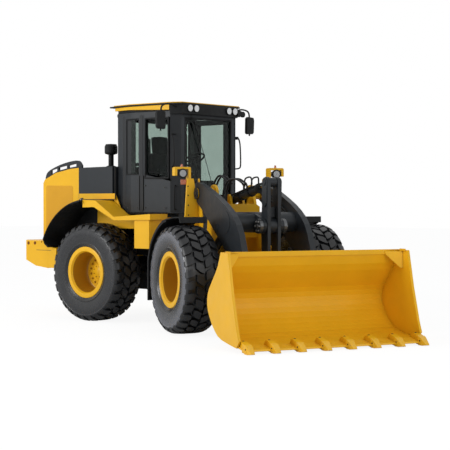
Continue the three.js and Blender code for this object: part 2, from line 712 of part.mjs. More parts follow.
function frontFrame() {
  const profile = [
    [440, 560], front(-275, 560), front(-225, AXLE_SEAT_Z), front(315, AXLE_SEAT_Z),
    front(315, 1110), front(-75, 1250), front(-275, 1450),
    ...arc(BOOM_PIVOT, 125, -20, 190, 10), front(-785, 1300), [440, 1240],
  ];
  const plates = SIDES.map(([, side]) =>
    plateXZ(profile, ...span(FRONT_BEAM_Y - TOWER_PLATE, FRONT_BEAM_Y, side)));
  const within = FRONT_BEAM_Y - 10;
  const noseTop = UPPER_FORK + FORK_PITCH;
  const nose = box(NOSE_START, 470, -NOSE_Y, NOSE_Y, LOWER_FORK, noseTop);
  const pocket = box(NOSE_START + 50, 500, -NOSE_Y + 40, NOSE_Y - 40, LOWER_FORK + 60, UPPER_FORK);
  const bulkhead = box(440, 480, -FRONT_BEAM_Y, FRONT_BEAM_Y, 560, 1240);
  const cross = [
    box(460, FRONT_AXLE_X - 265, -within, within, 560, 595),
    box(FRONT_AXLE_X - 245, FRONT_AXLE_X + 315, -within, within, AXLE_SEAT_Z, AXLE_SEAT_Z + 35),
    box(BOOM_PIVOT[0] - 20, BOOM_PIVOT[0] + 210, -within, within, 1540, 1740),
    box(FRONT_AXLE_X + 275, FRONT_AXLE_X + 315, -within, within, AXLE_SEAT_Z, 1110),
  ];
  const ears = [LOWER_FORK, UPPER_FORK].map((z) =>
    cut(ear(1, z + EAR_PLATE + RUN_GAP),
      boreZ([0, 0], PIVOT_PIN, z - 50, z + FORK_PITCH + 50)));
  const tiltLugs = SIDES.map(([, side]) =>
    plateXZ([[TILT_BASE[0] - 92, 1700], [TILT_BASE[0] + 108, 1700], ...arc(TILT_BASE, 62, 0, 180, 8)],
      ...span(78, 112, side)));
  const tiltPin = pinY(TILT_BASE, SMALL_PIN, -120, 120);
  const boomPins = SIDES.flatMap(([, side]) => [
    pinY(BOOM_PIVOT, A_BOSS, ...span(FRONT_BEAM_Y - 5, BOOM_INNER_Y - RUN_GAP, side)),
    pinY(BOOM_PIVOT, PIN_RADIUS, ...span(FRONT_BEAM_Y - 5, BOOM_OUTER_Y + RUN_GAP + PIN_CAP, side)),
    pinY(BOOM_PIVOT, CAP_RADIUS, ...span(BOOM_OUTER_Y + RUN_GAP, BOOM_OUTER_Y + RUN_GAP + PIN_CAP, side)),
    pinY(LIFT_BASE, SMALL_PIN, ...span(FRONT_BEAM_Y - 5, LIFT_Y + 60, side)),
    pinY(LIFT_BASE, 70, ...span(FRONT_BEAM_Y - 5, LIFT_Y - LIFT_RADIUS - RUN_GAP, side)),
  ]);
  const steerLugs = SIDES.flatMap(([, side]) => steerEyeLugs(side));
  return cut(join(...plates, nose, bulkhead, ...cross, ...ears, ...tiltLugs, tiltPin,
    ...boomPins, ...steerLugs), pocket);
}

// lugs on the front half that the steering rods' eyes lie between
function steerEyeLugs(side) {
  const [x, y] = STEER_EYE;
  const gap = 45;
  const reach = span(NOSE_Y - 10, y + 50, side);
  return [
    box(x - 55, x + 55, ...reach, STEER_Z - gap - 22, STEER_Z - gap),
    box(x - 55, x + 55, ...reach, STEER_Z + gap, STEER_Z + gap + 22),
  ];
}

function frontFenderLine() {
  const curve = smooth([[-795, 900], [-776, 1026], [-659, 1247], [-431, 1440], [-172, 1560],
    [0, 1600]], 16);
  return [[-795, 410], ...curve, [105, 1602], [128, 1520]].map(([x, z]) => front(x, z));
}

function frontFender(side) {
  const line = frontFenderLine();
  const skin = plateXZ(strip(line.reverse(), 22),
    WHEEL_Y - TYRE_WIDTH / 2 - 5, WHEEL_Y + TYRE_WIDTH / 2 - 5);
  const bracket = box(FRONT_AXLE_X - 812, FRONT_AXLE_X - 763, FRONT_BEAM_Y + SEAT_GAP,
    WHEEL_Y - TYRE_WIDTH / 2 + 40, 970, 1050);
  return mirrored(join(skin, bracket), side);
}

// the post stands between the boom's pin cap and the middle of the tyre
const POST_IN = BOOM_OUTER_Y + RUN_GAP + PIN_CAP + 39;
const POST_OUT = WHEEL_Y - 100;
const POST_X = FRONT_AXLE_X - 615;
const POST_PLATE = 40;
const LAMP_Z = 2217;

function headlight(side) {
  const y = (POST_IN + POST_OUT) / 2;
  const half = (POST_OUT - POST_IN) / 2;
  const guard = cut(
    box(POST_X - 120, POST_X - 10, y - half, y + half, LAMP_Z - 87, LAMP_Z + 88),
    box(POST_X - 30, POST_X + 90, y - half + 20, y + half - 20, LAMP_Z - 67, LAMP_Z + 68));
  const lamp = rod([POST_X - 40, y, LAMP_Z], [POST_X - 15, y, LAMP_Z], 70, 28);
  const base = box(POST_X - 70, POST_X + 50, y - half * 0.56, y + half * 0.56,
    LAMP_Z - 112, LAMP_Z - 77);
  return mirrored(join(taperedPost(y, half), guard, lamp, base), side);
}

// straight-line height of the front fender's skin at a place along the machine
function fenderTopZ(x) {
  const line = frontFenderLine().filter(([, z]) => z > 900);
  const next = Math.max(line.findIndex(([px]) => px >= x), 1);
  const [x0, z0] = line[next - 1];
  const [x1, z1] = line[next];
  return z0 + ((z1 - z0) * (x - x0)) / (x1 - x0);
}

function taperedPost(y, half) {
  const front = POST_X + POST_PLATE;
  const top = LAMP_Z - 97;
  const rearFoot = fenderTopZ(POST_X) + SEAT_GAP * 2;
  const frontFoot = fenderTopZ(front) + SEAT_GAP * 2;
  const sheet = plateXZ([[POST_X, rearFoot], [front, frontFoot], [front, top], [POST_X, top]],
    y - half, y + half);
  const trims = [-1, 1].map((edge) => {
    const points = [[y + edge * (half + 1), rearFoot - 60], [y + edge * half * 0.48, top + 1],
      [y + edge * half * 1.6, top + 1], [y + edge * half * 1.6, rearFoot - 60]];
    return wedgeYZ(edge > 0 ? points.reverse() : points, POST_X - 10, front + 10);
  });
  return cut(sheet, ...trims);
}

// outline in Y and Z, thickness along X
function wedgeYZ(points, x0, x1) {
  const basis = new THREE.Matrix4().makeBasis(
    new THREE.Vector3(0, 1, 0), new THREE.Vector3(0, 0, 1), new THREE.Vector3(1, 0, 0));
  return extrude(outline(points), x1 - x0).applyMatrix4(basis).translate(x0, 0, 0);
}

// ---------------------------------------------------------------- boom and linkage

const LUG_IN = 105;
const LUG_OUT = 150;
const BELLCRANK_CAP = 100;
const CRANK_IN = 58;
const CRANK_OUT = LUG_IN - RUN_GAP;
const LINK_HALF = CRANK_IN - RUN_GAP - 2;
const HINGE_END = 100;
const LINK_LUG_IN = LINK_HALF + RUN_GAP + 4;
const LINK_LUG_OUT = LINK_LUG_IN + 32;

function boomOutline() {
  const upper = smooth([front(-655, 2050), front(-545, 2088), front(-200, 1992), front(183, 1857),
    front(551, 1690), front(818, 1474), front(985, 1130), front(1165, 720), front(1333, 400)], 18);
  const nose = arc(BUCKET_HINGE, HINGE_END, 20, -140, 8);
  const lower = smooth([front(1135, 520), front(905, 790), front(675, 970), front(415, 1150),
    front(136, 1348), front(-298, 1646), front(-545, 1790), front(-690, 1860)], 14);
  return [...upper, ...nose, ...lower].reverse();
}

function boom() {
  const arms = SIDES.map(([, side]) =>
    plateXZ(boomOutline(), ...span(BOOM_INNER_Y, BOOM_OUTER_Y, side)));
  const tube = pinY(CROSS_TUBE, CROSS_TUBE_RADIUS, -BOOM_INNER_Y - 5, BOOM_INNER_Y + 5, 40);
  const lugs = SIDES.map(([, side]) =>
    plateXZ(taper(CROSS_TUBE, 135, BELLCRANK_PIVOT, 100), ...span(LUG_IN, LUG_OUT, side)));
  const eyePads = SIDES.map(([, side]) =>
    pinY(LIFT_EYE, 62, ...span(LIFT_Y + 40 + RUN_GAP, BOOM_INNER_Y + 5, side)));
  const reach = BOOM_OUTER_Y + 60;
  return cut(join(...arms, tube, ...lugs, ...eyePads),
    boreY(BOOM_PIVOT, PIN_RADIUS, reach),
    boreY(BUCKET_HINGE, BUCKET_PIN, reach),
    boreY(BELLCRANK_PIVOT, PIN_RADIUS, LUG_OUT + 20));
}

function bellcrank() {
  const plates = SIDES.map(([, side]) => join(
    plateXZ(taper(BELLCRANK_PIVOT, 110, BELLCRANK_HEAD, 72), ...span(CRANK_IN, CRANK_OUT, side)),
    plateXZ(taper(BELLCRANK_PIVOT, 110, BELLCRANK_FOOT, 72), ...span(CRANK_IN, CRANK_OUT, side))));
  const hub = pinY(BELLCRANK_PIVOT, 100, -CRANK_OUT, CRANK_OUT, 40);
  return cut(join(...plates, hub),
    boreY(BELLCRANK_PIVOT, PIN_RADIUS, 200),
    pinY(BELLCRANK_FOOT, 30, -200, 200),
    pinY(BELLCRANK_HEAD, 30, -200, 200));
}

function bucketLink() {
  const bar = join(
    plateXZ(taper(BELLCRANK_FOOT, 40, LINK_LUG, 38), -LINK_HALF, LINK_HALF),
    pinY(BELLCRANK_FOOT, 62, -LINK_HALF, LINK_HALF),
    pinY(LINK_LUG, 52, -LINK_HALF, LINK_HALF));
  return cut(bar, pinY(BELLCRANK_FOOT, 30, -100, 100),
    boreY(LINK_LUG, LINK_PIN, 100));
}

function cylinderBarrel(base, eye, radius, length, eyeRadius, bore, pinRadius, halfWidth) {
  const run = Math.hypot(eye[0] - base[0], eye[1] - base[1]);
  const at = (d) =>
    [base[0] + ((eye[0] - base[0]) * d) / run, 0, base[1] + ((eye[1] - base[1]) * d) / run];
  return cut(
    join(rod(at(eyeRadius * 0.6), at(length), radius), rod(at(length - 45), at(length), radius + 5),
      pinY(base, eyeRadius, -halfWidth, halfWidth)),
    rod(at(eyeRadius + 25), at(length + 20), bore), boreY(base, pinRadius, 200));
}

function cylinderRod(base, eye, radius, inside, eyeRadius, hole, halfWidth) {
  const run = Math.hypot(eye[0] - base[0], eye[1] - base[1]);
  const at = (d) =>
    [base[0] + ((eye[0] - base[0]) * d) / run, 0, base[1] + ((eye[1] - base[1]) * d) / run];
  return cut(
    join(rod(at(inside), at(run - eyeRadius * 0.5), radius), pinY(eye, eyeRadius, -halfWidth, halfWidth)),
    pinY(eye, hole, -200, 200));
}

const TILT_RADIUS = 62;
const TILT_ROD = 32;
const LIFT_RADIUS = 58;
const LIFT_ROD = 35;
const STEER_RADIUS = 38;
const STEER_ROD = 20;

const tiltBarrel = () =>
  cylinderBarrel(TILT_BASE, BELLCRANK_HEAD, TILT_RADIUS, 830, 56, TILT_ROD + BORE_GAP, SMALL_PIN, 70);

const tiltRod = () => cylinderRod(TILT_BASE, BELLCRANK_HEAD, TILT_ROD, 330, 60, 30, CRANK_IN - RUN_GAP - 2);

const liftBarrel = (side) =>
  cylinderBarrel(LIFT_BASE, LIFT_EYE, LIFT_RADIUS, 1050, 66, LIFT_ROD + BORE_GAP, SMALL_PIN, 38)
    .translate(0, side * LIFT_Y, 0);

const liftRod = (side) =>
  cylinderRod(LIFT_BASE, LIFT_EYE, LIFT_ROD, 150, 58, 28, 38).translate(0, side * LIFT_Y, 0);

// steering cylinders lie flat: drawn along X from the base pin, then turned in plan
function steerCylinder(side, make) {
  const turn = rad(STEER_AT_REST);
  const [ex, ey] = [STEER_EYE[0], side * STEER_EYE[1]];
  const eye = [ex * Math.cos(turn) - ey * Math.sin(turn), ex * Math.sin(turn) + ey * Math.cos(turn)];
  const base = [STEER_BASE[0], side * STEER_BASE[1]];
  const run = [eye[0] - base[0], eye[1] - base[1]];
  const length = Math.hypot(...run);
  return make([0, 0], [length, 0]).rotateX(Math.PI / 2)
    .rotateZ(Math.atan2(run[1], run[0])).translate(base[0], base[1], STEER_Z);
}

const STEER_BARREL_LENGTH = 660;
const STEER_ROD_LENGTH = 680;

const steerBarrel = (side) => steerCylinder(side, (base, eye) =>
  cylinderBarrel(base, eye, STEER_RADIUS, STEER_BARREL_LENGTH, 44, STEER_ROD + BORE_GAP, 24, 38));

const steerRod = (side) => steerCylinder(side, (base, eye) =>
  cylinderRod(base, eye, STEER_ROD, eye[0] - STEER_ROD_LENGTH, 38, 18, 38));

// ---------------------------------------------------------------- bucket

const SHELL_END_X = FRONT_AXLE_X + 2375;
const BUCKET_BACK = [
  front(1912, 1188), front(1817, 1001), front(1647, 818), front(1523, 674), front(1498, 515),
  front(1572, 364), front(1720, 221), front(1912, 124), [SHELL_END_X, 60],
];
const BUCKET_MOUTH = [front(2146, 1187), front(2261, 722), front(2397, 284), front(2455, 150)];
const BUCKET_STEPS = 18;
const EDGE_TIP_X = SHELL_END_X + 200;
const TOOTH_TIP_X = SHELL_END_X + 320;

function bucket() {
  const back = smooth(BUCKET_BACK, BUCKET_STEPS);
  const shell = plateXZ(strip([...back].reverse(), -BUCKET_SHELL).reverse(),
    -BUCKET_HALF + 5, BUCKET_HALF - 5);
  const cheek = [...back, ...[...BUCKET_MOUTH].reverse()];
  const cheeks = SIDES.map(([, side]) =>
    plateXZ(cheek, ...span(BUCKET_HALF - BUCKET_SIDE, BUCKET_HALF, side)));
  const wall = offset(back, 10).filter(([, z]) => z > 205 && z < 700);
  const armLug = [...arc(BUCKET_HINGE, 82, 95, 255, 8), ...wall.filter(([, z]) => z < 640).reverse()];
  const linkWall = wall.filter(([, z]) => z > 400);
  const linkLug = [...arc(LINK_LUG, 66, 80, 250, 7), ...linkWall.reverse()];
  const armLugs = SIDES.flatMap(([, side]) => [
    plateXZ(armLug, ...span(BOOM_INNER_Y - RUN_GAP - LUG_PLATE, BOOM_INNER_Y - RUN_GAP, side)),
    plateXZ(armLug, ...span(BOOM_OUTER_Y + RUN_GAP, BOOM_OUTER_Y + RUN_GAP + LUG_PLATE, side)),
  ]);
  const linkLugs = SIDES.map(([, side]) =>
    plateXZ(linkLug, ...span(LINK_LUG_IN, LINK_LUG_OUT, side)));
  const reach = BOOM_OUTER_Y + 100;
  const inside = BUCKET_HALF - BUCKET_SIDE - 0.01;
  const trim = box(SHELL_END_X, SHELL_END_X + 50, -inside, inside, 0, 200);
  return cut(join(shell, ...cheeks, ...armLugs, ...linkLugs), trim,
    boreY(BUCKET_HINGE, BUCKET_PIN, reach),
    boreY(LINK_LUG, LINK_PIN, 200));
}

function cuttingEdge() {
  const within = BUCKET_HALF - BUCKET_SIDE - SEAT_GAP;
  const bar = plateXZ([[SHELL_END_X + SEAT_GAP, 42], [EDGE_TIP_X, 30], [EDGE_TIP_X, 44],
    [SHELL_END_X + 70, 80], [SHELL_END_X + SEAT_GAP, 84]], -within, within);
  const inset = BUCKET_HALF - BUCKET_SIDE - TOOTH_WIDTH / 2 - SEAT_GAP;
  const teeth = Array.from({ length: TOOTH_COUNT }, (_, i) => {
    const y = -inset + (2 * inset * i) / (TOOTH_COUNT - 1);
    return plateXZ([[SHELL_END_X + 105, 32], [TOOTH_TIP_X, 22], [TOOTH_TIP_X, 30],
      [SHELL_END_X + 230, 72], [SHELL_END_X + 105, 100]], y - TOOTH_WIDTH / 2, y + TOOTH_WIDTH / 2);
  });
  return join(bar, ...teeth);
}

function bucketPin(side) {
  const cap = BOOM_OUTER_Y + RUN_GAP + LUG_PLATE + RUN_GAP;
  return join(
    pinY(BUCKET_HINGE, BUCKET_PIN, ...span(BOOM_INNER_Y - 50, cap + PIN_CAP, side)),
    pinY(BUCKET_HINGE, BUCKET_CAP, ...span(cap, cap + PIN_CAP, side)));
}

function bellcrankPin() {
  const cap = LUG_OUT + RUN_GAP;
  const end = cap + 45;
  return join(
    pinY(BELLCRANK_PIVOT, PIN_RADIUS, -end, end),
    ...SIDES.map(([, side]) => pinY(BELLCRANK_PIVOT, BELLCRANK_CAP, ...span(cap, end, side))));
}

function linkPin() {
  const cap = LINK_LUG_OUT + RUN_GAP;
  const end = cap + 28;
  return join(
    pinY(LINK_LUG, LINK_PIN, -end, end),
    ...SIDES.map(([, side]) => pinY(LINK_LUG, LINK_CAP, ...span(cap, end, side))));
}

// ---------------------------------------------------------------- assembly

function rearHalf() {
  return group(
    part('rear_frame', rearFrame(), CHARCOAL),
    part('rear_axle', axleGeometry(REAR_AXLE_X, REAR_BEAM_Y), CHARCOAL),
    part('counterweight', counterweight(), YELLOW),
    part('hood_rear', hoodRear(), YELLOW),
    part('hood_front', hoodFront(), CHARCOAL),
    part('rear_grille', rearGrille(), BLACK),
    part('engine', engine(), CHARCOAL),
    part('precleaner', precleaner(), BLACK),
    part('exhaust_stack', exhaustStack(), BLACK),
    ...SIDES.flatMap(([name, side]) => [
      part(`hood_rail_${name}`, hoodRail(side), CHARCOAL),
      part(`rear_fender_${name}`, rearFender(side), BLACK),
      part(`walkway_${name}`, walkway(side), YELLOW),
      part(`mirror_${name}`, mirrorArm(side), BLACK),
      part(`steer_barrel_${name}`, steerBarrel(side), CHARCOAL),
      part(`steer_rod_${name}`, steerRod(side), STEEL),
      wheel('rear', name, side, REAR_AXLE_X),
    ]),
  );
}

function cab() {
  return group(
    part('cab_frame', cabFrame(), CHARCOAL),
    part('cab_roof', cabRoof(), YELLOW),
    part('windscreen', pane(WINDSCREEN), GLAZING),
    part('side_glass_right', pane(RIGHT_WINDOW), GLAZING),
    part('rear_glass', pane(REAR_WINDOW), GLAZING),
    part('door_left', doorLeft(), CHARCOAL),
    part('door_glass', pane(DOOR_WINDOW), GLAZING),
    part('seat', seat(), UPHOLSTERY),
    part('steering_column', steeringColumn(), BLACK),
  );
}

function frontHalf() {
  const half = group(
    part('front_frame', frontFrame(), YELLOW),
    part('front_axle', axleGeometry(FRONT_AXLE_X, FRONT_BEAM_Y), CHARCOAL),
    part('boom', boom(), CHARCOAL),
    part('bellcrank', bellcrank(), CHARCOAL),
    part('bellcrank_pin', bellcrankPin(), STEEL),
    part('link_pin', linkPin(), STEEL),
    part('bucket_link', bucketLink(), CHARCOAL),
    part('tilt_barrel', tiltBarrel(), CHARCOAL),
    part('tilt_rod', tiltRod(), STEEL),
    part('bucket', bucket(), YELLOW),
    part('cutting_edge', cuttingEdge(), STEEL),
    ...SIDES.flatMap(([name, side]) => [
      part(`front_fender_${name}`, frontFender(side), BLACK),
      part(`headlight_${name}`, headlight(side), YELLOW),
      part(`bucket_pin_${name}`, bucketPin(side), STEEL),
      part(`lift_barrel_${name}`, liftBarrel(side), CHARCOAL),
      part(`lift_rod_${name}`, liftRod(side), STEEL),
      wheel('front', name, side, FRONT_AXLE_X),
    ]),
  );
  half.rotation.z = rad(STEER_AT_REST);
  return half;
}

const loader = group(rearHalf(), cab(), frontHalf());
const bounds = new THREE.Box3().setFromObject(loader, true);
const middle = bounds.getCenter(new THREE.Vector3());
loader.position.set(-middle.x, -middle.y, -bounds.min.z);

export default loader;
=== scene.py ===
"""Looks of an articulated wheel loader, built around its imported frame."""
import json
import math

import bmesh
import bpy
from mathutils import Matrix, Vector


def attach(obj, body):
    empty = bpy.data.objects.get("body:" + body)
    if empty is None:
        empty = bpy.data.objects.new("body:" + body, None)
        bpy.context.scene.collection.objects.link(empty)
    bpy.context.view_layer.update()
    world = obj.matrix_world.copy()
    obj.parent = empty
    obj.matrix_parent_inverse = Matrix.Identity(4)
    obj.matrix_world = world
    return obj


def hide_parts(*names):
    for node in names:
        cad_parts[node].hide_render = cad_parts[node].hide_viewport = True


bl_info = {
    "name": "Wheel loader",
    "version": (1, 0, 0),
    "blender": (4, 5, 0),
    "location": "View3D > Sidebar > Loader",
    "description": "Builds the visible pieces of an articulated wheel loader",
    "category": "Object",
}

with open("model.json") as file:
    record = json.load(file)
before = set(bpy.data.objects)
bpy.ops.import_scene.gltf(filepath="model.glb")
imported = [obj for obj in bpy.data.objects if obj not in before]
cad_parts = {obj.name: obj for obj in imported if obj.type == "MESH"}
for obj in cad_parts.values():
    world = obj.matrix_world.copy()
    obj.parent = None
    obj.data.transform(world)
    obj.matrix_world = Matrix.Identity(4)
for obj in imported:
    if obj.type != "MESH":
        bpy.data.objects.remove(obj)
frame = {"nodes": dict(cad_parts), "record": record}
JOINTS = {joint["name"]: joint for joint in frame["record"]["behaviour"]["joints"]}
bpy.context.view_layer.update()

SIDES = (("right", -1), ("left", 1))
PIVOT = JOINTS["steer"]["pos_m"]
PIVOT_HEIGHT = 0.88
GROUND = PIVOT[2] - PIVOT_HEIGHT
ACROSS = JOINTS["boom_lift"]["axis"]
HEADING = math.atan2(ACROSS[0], -ACROSS[1])
REAR = Matrix.Translation((PIVOT[0], PIVOT[1], GROUND))
FRONT = REAR @ Matrix.Rotation(HEADING, 4, "Z")


def sizes():
    return bpy.context.scene.loader_sizes


def paints():
    return bpy.context.scene.loader_paints


# ---- mesh tools

PLANES = {
    "XZ": lambda u, v, w: (u, w, v),
    "XY": lambda u, v, w: (u, v, w),
    "YZ": lambda u, v, w: (w, u, v),
}


def unique(parts):
    """The parts in the order given, each once."""
    return list(dict.fromkeys(parts))


def verts_of(made):
    return [g for g in made["geom"] if isinstance(g, bmesh.types.BMVert)]


def slab(bm, outline, low, high, plane="XZ"):
    """A flat plate: an outline in two axes and a thickness along the third."""
    place = PLANES[plane]
    face = bm.faces.new([bm.verts.new(place(u, v, low)) for u, v in outline])
    made = bmesh.ops.extrude_face_region(bm, geom=[face])
    moved = verts_of(made)
    bmesh.ops.translate(bm, vec=place(0, 0, high - low), verts=moved)
    return list(face.verts) + moved


def block(bm, x0, x1, y0, y1, z0, z1):
    made = bmesh.ops.create_cube(bm, size=1)
    bmesh.ops.scale(bm, vec=(x1 - x0, y1 - y0, z1 - z0), verts=made["verts"])
    middle = ((x0 + x1) / 2, (y0 + y1) / 2, (z0 + z1) / 2)
    bmesh.ops.translate(bm, vec=middle, verts=made["verts"])
    return made["verts"]


def turn_to(direction):
    return Vector(direction).to_track_quat("Z", "Y").to_matrix().to_4x4()


def rod(bm, start, end, radius, sides=24, tip=None):
    """A round bar, or a cone with another radius at its tip."""
    start, end = Vector(start), Vector(end)
    run = end - start
    made = bmesh.ops.create_cone(
        bm, cap_ends=True, segments=sides, radius1=radius,
        radius2=radius if tip is None else tip, depth=run.length)
    place = Matrix.Translation((start + end) / 2) @ turn_to(run)
    bmesh.ops.transform(bm, matrix=place, verts=made["verts"])
    return made["verts"]


def pin(bm, at, radius, low, high, sides=24):
    """A round bar across the machine."""
    return rod(bm, (at[0], low, at[1]), (at[0], high, at[1]), radius, sides)


def bolt(bm, at, direction, radius=0.012, height=0.01):
    at, direction = Vector(at), Vector(direction).normalized()
    rod(bm, at - direction * 0.004, at + direction * 0.003, radius * 1.5, 12)
    rod(bm, at, at + direction * height, radius, 6)


def lathe(bm, profile, centre, axis="Y", steps=96, closed=True):
    """A profile of radius and height spun round an axis; a closed profile makes a ring."""
    place = {"Y": lambda r, h: (0, h, r), "Z": lambda r, h: (r, 0, h)}[axis]
    verts = [bm.verts.new(Vector(centre) + Vector(place(r, h))) for r, h in profile]
    pairs = list(zip(verts, verts[1:] + verts[:1])) if closed else list(zip(verts, verts[1:]))
    edges = [bm.edges.new(pair) for pair in pairs]
    line = {"Y": (0, 1, 0), "Z": (0, 0, 1)}[axis]
    bmesh.ops.spin(
        bm, geom=verts + edges, cent=centre, axis=line, angle=2 * math.pi, steps=steps,
        use_merge=True)
    bmesh.ops.remove_doubles(bm, verts=bm.verts, dist=1e-6)


PIPE_STEPS = 6


def smooth_line(points, steps):
    """Points of a smooth curve through the given ones."""
    out = []
    for i in range(len(points) - 1):
        ends = [Vector(points[k]) for k in (max(i - 1, 0), i, i + 1, min(i + 2, len(points) - 1))]
        for s in range(steps):
            t = s / steps
            out.append(0.5 * (
                2 * ends[1] + (ends[2] - ends[0]) * t
                + (2 * ends[0] - 5 * ends[1] + 4 * ends[2] - ends[3]) * t ** 2
                + (3 * ends[1] - ends[0] - 3 * ends[2] + ends[3]) * t ** 3))
    return out + [Vector(points[-1])]


def pipe(bm, points, radius, sides=10):
    """A round tube along a smooth path, with closed ends."""
    path = smooth_line(points, PIPE_STEPS)
    rings, frame_up = [], Vector((0, 0, 1))
    for i, point in enumerate(path):
        ahead = (path[min(i + 1, len(path) - 1)] - path[max(i - 1, 0)]).normalized()
        side = ahead.cross(frame_up)
        if side.length < 0.1:
            side = ahead.cross(Vector((1, 0, 0)))
        side.normalize()
        frame_up = side.cross(ahead).normalized()
        made = bmesh.ops.create_circle(bm, cap_ends=False, segments=sides, radius=radius)
        place = Matrix((side, frame_up, ahead)).transposed().to_4x4()
        bmesh.ops.transform(bm, matrix=Matrix.Translation(point) @ place, verts=made["verts"])
        rings.append(list({edge for vert in made["verts"] for edge in vert.link_edges}))
    for low, high in zip(rings, rings[1:]):
        bmesh.ops.bridge_loops(bm, edges=low + high)
    for ring in (rings[0], rings[-1]):
        bmesh.ops.contextual_create(bm, geom=ring)


def sweep(bm, section, thickness, low, high):
    """A bent plate: a line of X and Z places, thickened to its left, across Y."""
    line = [Vector(p) for p in section]
    side = []
    for i, point in enumerate(line):
        run = (line[min(i + 1, len(line) - 1)] - line[max(i - 1, 0)]).normalized()
        side.append(point + Vector((-run.y, run.x)) * thickness)
    slab(bm, [tuple(p) for p in line + side[::-1]], low, high)


def taper(first, r0, second, r1, steps=10):
    """Outline round two circles and the straight sides that touch both."""
    (x0, z0), (x1, z1) = first, second
    run = math.hypot(x1 - x0, z1 - z0)
    heading = math.atan2(z1 - z0, x1 - x0)
    lean = math.acos((r0 - r1) / run)
    return (arc(first, r0, heading + lean, heading + 2 * math.pi - lean, steps)
            + arc(second, r1, heading - lean, heading + lean, steps))


def arc(centre, radius, start, end, steps):
    return [(centre[0] + radius * math.cos(start + (end - start) * i / steps),
             centre[1] + radius * math.sin(start + (end - start) * i / steps))
            for i in range(steps + 1)]


def degrees_arc(centre, radius, start, end, steps):
    return arc(centre, radius, math.radians(start), math.radians(end), steps)


def mirror_all(bm):
    """Adds the other side of everything in the mesh, across Y."""
    copy = bmesh.ops.duplicate(bm, geom=bm.verts[:] + bm.edges[:] + bm.faces[:])
    bmesh.ops.scale(bm, vec=(1, -1, 1), verts=verts_of(copy))


def to_side(bm, side):
    """Turns a mesh drawn for the left side into one for the given side."""
    if side < 0:
        bmesh.ops.scale(bm, vec=(1, -1, 1), verts=bm.verts)


REAR_BODIES = ("rear", "door")


def keep(bm, name, body, finish, place=None, replaces=(), bevel=0.0, sharp=38, steps=2):
    """Makes the mesh a piece that rides on a body; without a place it stands in the axes of its half."""
    if place is None:
        place = REAR if body in REAR_BODIES else FRONT
    bmesh.ops.recalc_face_normals(bm, faces=bm.faces)
    bm.transform(place)
    for face in bm.faces:
        face.smooth = True
    for edge in bm.edges:
        edge.smooth = edge.calc_face_angle(0) < math.radians(sharp)
    mesh = bpy.data.meshes.new(name)
    bm.to_mesh(mesh)
    bm.free()
    mesh.materials.append(finishes()[finish])
    piece = bpy.data.objects.new(name, mesh)
    bpy.context.scene.collection.objects.link(piece)
    if bevel:
        round_edges = piece.modifiers.new("Edges", "BEVEL")
        round_edges.width = bevel
        round_edges.segments = steps
        round_edges.limit_method = "ANGLE"
        round_edges.angle_limit = math.radians(sharp)
        round_edges.harden_normals = True
    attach(piece, body)
    if replaces:
        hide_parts(*replaces)
    return piece


# ---- finishes

FINISHES = {}


class Nodes:
    """A node tree and short ways to add to it."""

    def __init__(self, tree):
        self.tree = tree

    def add(self, kind, **settings):
        node = self.tree.nodes.new(kind)
        for key, value in settings.items():
            if key in node.inputs:
                node.inputs[key].default_value = value
            else:
                setattr(node, key, value)
        return node

    def link(self, source, target):
        self.tree.links.new(source, target)

    def rays(self, *kinds):
        """1 on rays of any of the given kinds."""
        path = self.add("ShaderNodeLightPath")
        total = path.outputs[kinds[0]]
        for kind in kinds[1:]:
            either = self.add("ShaderNodeMath", operation="MAXIMUM")
            self.link(total, either.inputs[0])
            self.link(path.outputs[kind], either.inputs[1])
            total = either.outputs["Value"]
        return total

    def blend(self, share, first, second):
        """Sends a mixture of two shader nodes to the output."""
        joined = self.add("ShaderNodeMixShader")
        self.link(share, joined.inputs["Fac"])
        self.link(first.outputs[0], joined.inputs[1])
        self.link(second.outputs[0], joined.inputs[2])
        out = next(n for n in self.tree.nodes if n.type in ("OUTPUT_MATERIAL", "OUTPUT_WORLD"))
        self.link(joined.outputs["Shader"], out.inputs["Surface"])


